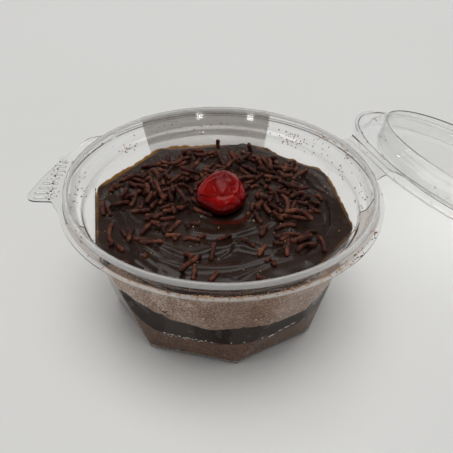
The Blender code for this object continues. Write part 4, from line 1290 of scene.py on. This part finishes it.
builder = bmesh.new()
bmesh.ops.create_icosphere(builder, subdivisions=6, radius=1.0)
for corner in builder.verts:
    unit = corner.co.copy()
    turn = math.atan2(unit.y, unit.x)
    flat = math.hypot(unit.x, unit.y)
    dents = 0.045 * math.sin(3 * turn + 0.6) + 0.03 * math.sin(5 * turn - 1.1)
    upper = max(unit.z, 0.0)
    folds = abs(noise.noise(Vector((unit.x * 1.6, unit.y * 1.6, unit.z * 1.1)) * 1.3
                            + Vector((3.2, 1.7, 0.4))))
    fine = abs(noise.noise(unit * 4.2 + Vector((8.0, 2.0, 5.0))))
    wrinkle = (0.11 * (folds - 0.22) + 0.04 * (fine - 0.2)) * (0.15 + 0.85 * upper)
    width = 9.15 * (1 + dents * flat + wrinkle) * (1 - 0.38 * upper ** 1.4)
    lift = 8.9 if unit.z > 0 else 5.6
    corner.co = (unit.x * width + 1.2 * upper, unit.y * width + 1.6 * upper,
                 unit.z * lift * (1 + wrinkle * 0.6))
places = [corner.co.copy() for corner in builder.verts]
across = np.array([place.dot(CAMERA_RIGHT) for place in places])
upward = np.array([place.dot(FRONT_UP) for place in places])
facing = np.clip(np.array([place.dot(CAMERA_BACK) for place in places]) / 3.0, 0, 1)
sunk = np.zeros(len(places))
for line, depth, width in FOLDS:
    away, _ = nearest_on_line(across, upward, line)
    sunk += depth * np.exp(-(away / width) ** 2) * facing
for corner, amount in zip(builder.verts, sunk):
    corner.co -= corner.co.normalized() * float(amount)
bmesh.ops.translate(builder, vec=CHERRY_CENTRE, verts=builder.verts)
bmesh.ops.transform(builder, matrix=Matrix.Scale(MM, 4), verts=builder.verts)

cherry_look, tree = look("cherry_flesh", 0.12, 1.42, 0.22)
height, patches = uneven(tree, 380.0, 110.0, 0.7)
# The colour follows mostly height: painted shade low on the cherry where it sits in the fudge, a
# painted glow across its middle, and a little random mottle.
height_shade_and_mottle = mixed(tree, 0.3, rescaled(tree, height_of(tree), 0.0365, 0.0505), patches)
tint = colour_ramp(tree, height_shade_and_mottle,
                   [(0.24, (0.035, 0.0001, 0.0002)), (0.46, (0.075, 0.0003, 0.0004)),
                    (0.6, (0.27, 0.0012, 0.0009)), (0.7, (0.24, 0.0025, 0.0022)),
                    (0.85, (0.15, 0.004, 0.004))])
feed(tree, "Base Color", tint)
for socket, value in (("Weight", 0.4), ("Radius", (1.0, 0.12, 0.08)), ("Scale", 0.004)):
    tree.nodes[SHADER].inputs[f"Subsurface {socket}"].default_value = value
bump(tree, height, 0.18, 0.0006)
cherry_mesh = mesh_from("candied_cherry", builder, cherry_look)
cherry_mesh.shade_smooth()
cherry = placed("candied_cherry", cherry_mesh)
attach(cherry, "tub_with_cake")
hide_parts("cherry")


# Label: a blank paper seal at the back. It bridged the lid's edge, and it hangs from the
# flange down to the facets, where its foot is stuck.

LABEL_AZIMUTHS = (47.8, 102.3)
LABEL_THICKNESS, LABEL_GAP = 0.3, 0.7
LABEL_RADIUS = 57.7
LABEL_COLUMNS = 72

label_points = []
for step in range(LABEL_COLUMNS + 1):
    azimuth = LABEL_AZIMUTHS[0] + (LABEL_AZIMUTHS[1] - LABEL_AZIMUTHS[0]) * step / LABEL_COLUMNS
    column = [polar(LABEL_RADIUS, azimuth, level) for level in (49.3, 48.3, 47.2, 46.2)]
    for level in (24.0, 16.0):
        column.append(polar(wall_at(azimuth, level) + SHEET + LABEL_GAP, azimuth, level))
    hang = [column[3].lerp(column[4], share / 8) for share in range(1, 8)]
    foot = [column[4].lerp(column[5], share / 3) for share in range(4)]
    label_points += [*column[:4], *hang, *foot]
rows = len(label_points) // (LABEL_COLUMNS + 1)
label_faces = [[a, d, c, b] for a, b, c, d in sheet_faces(LABEL_COLUMNS + 1, rows)]

paper, tree = look("seal_paper", 0.7, 1.45)
height = uneven(tree, 1600.0, 60.0, 0.5)[0]
# The upper paper is painted grey, painted shade where the seal lies in its own shadow; lower down it
# keeps its own near-white.
tint = colour_ramp(tree, height, [(0.35, (0.44, 0.415, 0.395)), (0.65, (0.51, 0.485, 0.46))])
lower = rescaled(tree, height_of(tree), 0.039, 0.0383)
feed(tree, "Base Color", blended(tree, lower, tint, (0.96, 0.95, 0.935)))
bump(tree, height, 0.2, 0.0002)
label = piece("blank_label", label_points, label_faces, paper)
step = label.modifiers.new("Paper", "SOLIDIFY")
step.thickness = LABEL_THICKNESS * MM
step.offset = 1.0
settled(label)
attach(label, "tub_with_cake")
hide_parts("label")


# Lid: one clear PET sheet with its flange, the cap that snaps over the tub's rim, the ring
# that plugs into the tub and the raised flat middle. It hangs open from the hinge.

LID_OPEN = 202.2
PLUG_RING, PLUG_RING_TOP = (44.0, 46.6), 50.5
LID_MIDDLE_HEIGHT = 52.3
LID_ROUNDING = 0.7
LID_FLANGE_RADIUS, LID_FLANGE_HEIGHT = 57.2, 47.3
LID_PROFILE = [(55.4, 47.3), (55.35, 51.2), (54.9, 51.85), (53.3, 51.85), (52.8, 51.3),
               (51.3, 46.9), (50.4, 45.2), (48.5, 43.9), (48.1, 43.0), (47.3, 41.95),
               (46.5, 41.2), (45.9, 40.9), (45.5, 41.3), (44.9, 50.9), (44.4, 51.7),
               (43.4, 51.9), (41.0, 51.95), (30.0, 52.1), (15.0, 52.2)]
LID_STRIP_CORNERS = [(52.8, -17.7), (57.68, -12.9), (60.08, -11.7), (60.08, 15.7),
                     (57.68, 16.9), (51.3, 21.7)]

lid_strip = [Vector(corner) for corner in LID_STRIP_CORNERS] + [Vector((0.0, 0.0))]
lid_azimuths = {step * 1.5 for step in range(240)}
lid_azimuths |= {azimuth_of(corner) % 360.0 for corner in lid_strip[:-1]}
lid_profiles = []
for azimuth in sorted(lid_azimuths):
    edge = max(LID_FLANGE_RADIUS, outline_reach(lid_strip, azimuth))
    across = [polar(edge + (56.2 - edge) * step / 3, azimuth, LID_FLANGE_HEIGHT)
              for step in range(4)]
    turned = [polar(radius, azimuth, height) for radius, height in LID_PROFILE]
    lid_profiles.append([tuple(point) for point in [*across, *turned]])
lid_grid = softened(np.array(lid_profiles), LID_ROUNDING)
lid_points, lid_faces = turned_grid(lid_grid, (0.0, 0.0, LID_MIDDLE_HEIGHT), False)
swing = math.radians(LID_OPEN)


def opened(point):
    """A point of the closed lid, in millimetres, swung open about the hinge."""
    x, z = point[0] - HINGE_X, point[2] - HINGE_HEIGHT
    return (HINGE_X + x * math.cos(swing) + z * math.sin(swing), point[1],
            HINGE_HEIGHT - x * math.sin(swing) + z * math.cos(swing))


lid_plastic = clear_plastic("lid_plastic", (0.99, 0.992, 0.992), 0.02, 1.32, roughness=0.05)
# A slight milky white is painted into the plug ring: a painted highlight along its bends.
lid_ring = clear_plastic("lid_ring_plastic", (0.98, 0.985, 0.975), 0.0, 1.42, 0.95, 0.14)
lid_shell = piece("lid_shell", [opened(point) for point in lid_points], lid_faces, lid_plastic)
sheet_of(lid_shell)
lid_shell.data.materials.append(lid_ring)
hinge_line = Vector((HINGE_X * MM, 0.0, HINGE_HEIGHT * MM))
closing = Matrix.Rotation(-swing, 3, "Y")
for face in lid_shell.data.polygons:
    closed = closing @ (face.center - hinge_line) + hinge_line
    on_ring = PLUG_RING[0] < math.hypot(closed.x, closed.y) / MM < PLUG_RING[1]
    face.material_index = 1 if on_ring and closed.z < PLUG_RING_TOP * MM else 0
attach(lid_shell, "hinged_lid")
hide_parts("lid")


# Crumbs: dry crumbs of the pale sponge and grains off the strands, which fell on the plastic
# and the fudge when the tub was filled. They cling where they fell.

CRUMB_SIZE = 0.55
TAB_CRUMBS, TOPPING_CRUMBS, LID_CRUMBS = 16, 110, 42
RIM_SURFACE = [(48.3, 42.0), *RIM_PROFILE, (FLANGE_RADIUS, FLANGE_HEIGHT)]
CLUSTERS = [
    # azimuth, spread in degrees, share of the way out, spread, count
    (-104, 24, 0.922, 0.006, 80), (-62, 22, 0.93, 0.03, 24), (-135, 10, 0.93, 0.01, 12),
    (-108, 40, 0.965, 0.014, 26), (-62, 24, 0.965, 0.02, 12),
    (-108, 36, 0.3, 0.2, 18), (-66, 24, 0.35, 0.2, 12),
    (34, 7, 0.16, 0.1, 40), (155, 12, 0.2, 0.15, 16), (116, 7, 0.12, 0.08, 18),
    (75, 30, 0.2, 0.2, 24), (100, 60, 0.6, 0.25, 26), (5, 30, 0.35, 0.3, 54),
    (-20, 18, 0.3, 0.25, 20), (20, 12, 0.97, 0.03, 16), (180, 22, 0.35, 0.3, 12),
    (-165, 10, 0.6, 0.3, 8), (60, 14, 0.97, 0.02, 8), (0, 180, 0.5, 0.3, 46),
]


def on_rim(azimuth, share):
    """A point on the upper face of the tub's wall and rim, by its share of the way out."""
    points = [Vector((radius, height)) for radius, height in RIM_SURFACE]
    spot, _ = along_line(points, share)
    return polar(spot.x, azimuth, min(spot.y + 0.08, 50.8))


crumb_places = []
for azimuth, spread, share, deep, count in CLUSTERS:
    for _ in range(count):
        here = rng.gauss(azimuth, spread * 0.55)
        crumb_places.append(on_rim(here, min(max(rng.gauss(share, deep), 0.0), 0.995)))
for _ in range(TAB_CRUMBS):
    crumb_places.append(polar(rng.uniform(57.2, 60.5), rng.uniform(140, 164), 47.08))
for _ in range(TOPPING_CRUMBS):
    spot = polar(43.5 * math.sqrt(rng.random()), rng.uniform(0, 360))
    if (spot.to_2d() - Vector(CHERRY_MIDDLE)).length > 10:
        crumb_places.append(Vector((spot.x, spot.y, fudge_at(spot) + 0.12)))

crumb_paint = grained("fallen_crumb", 0.75, 1.4, 0.5, (2400.0, 140.0, 0.3),
                      [(0.35, (0.17, 0.078, 0.046)), (0.5, (0.33, 0.18, 0.105)),
                       (0.65, (0.56, 0.37, 0.2))], (0.4, 0.0002))[0]
crumb_tree = geometry_tree("fallen_crumbs", [("Places", "Geometry"), ("Size", "Float"),
                                             ("Seed", "Int")], {
    "places": ("GeometryNodeMeshToPoints", {}),
    "ball": ("GeometryNodeMeshIcoSphere", {"Subdivisions": 2}),
    "halved": math_part("MULTIPLY", 0.5),
    "crumb": ("GeometryNodeInstanceOnPoints", {}),
    "spin": ("FunctionNodeRandomValue", {"data_type": "FLOAT_VECTOR", 1: (6.28, 6.28, 6.28)}),
    "turn": ("FunctionNodeEulerToRotation", {}),
    "sizes": ("FunctionNodeRandomValue", {"data_type": "FLOAT_VECTOR", 0: (0.45, 0.45, 0.45),
                                          1: (1.5, 1.25, 1.25)}),
    "lump": ("ShaderNodeTexNoise", {"Scale": 3200.0}),
    "moved": ("GeometryNodeSetPosition", {}),
    **LUMP_PARTS,
}, ["in.Places > places.Mesh", "in.Size > halved.0", "halved.0 > ball.Radius",
    "places.Points > crumb.Points", "ball.Mesh > crumb.Instance", "in.Seed > spin.Seed",
    "in.Seed > sizes.Seed", "spin.0 > turn.0", "turn.0 > crumb.Rotation",
    "sizes.0 > crumb.Scale", "crumb.Instances > real.Geometry", "in.Size > sized.1",
    *LUMP_WIRES, "real.Geometry > moved.Geometry", "moved.Geometry > paint.Geometry"])


def crumbs(name, places, body, seed):
    """Crumbs at the given places, which ride on one body."""
    points = [tuple(Vector(place) * MM) for place in places]
    made = grown(name, points, [], crumb_tree,
                 {"Size": CRUMB_SIZE * MM, "Seed": seed, "Material": crumb_paint})
    made.data.materials.clear()
    made.data.materials.append(crumb_paint)
    made.data.polygons.foreach_set("material_index", [0] * len(made.data.polygons))
    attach(made, body)


crumbs("tub_crumbs", crumb_places, "tub_with_cake", 5)
lid_places = []
profile = [(LID_FLANGE_RADIUS, LID_FLANGE_HEIGHT), *LID_PROFILE]
for _ in range(LID_CRUMBS):
    azimuth = rng.gauss(0, 38)
    radius = rng.choice((rng.uniform(53.0, 57.0), rng.uniform(20.0, 43.0), rng.uniform(48.2, 52)))
    level = float(np.interp(-radius, [-r for r, _ in profile], [z for _, z in profile]))
    lid_places.append(opened(polar(radius, azimuth, level - 0.08)))
crumbs("lid_crumbs", lid_places, "hinged_lid", 9)
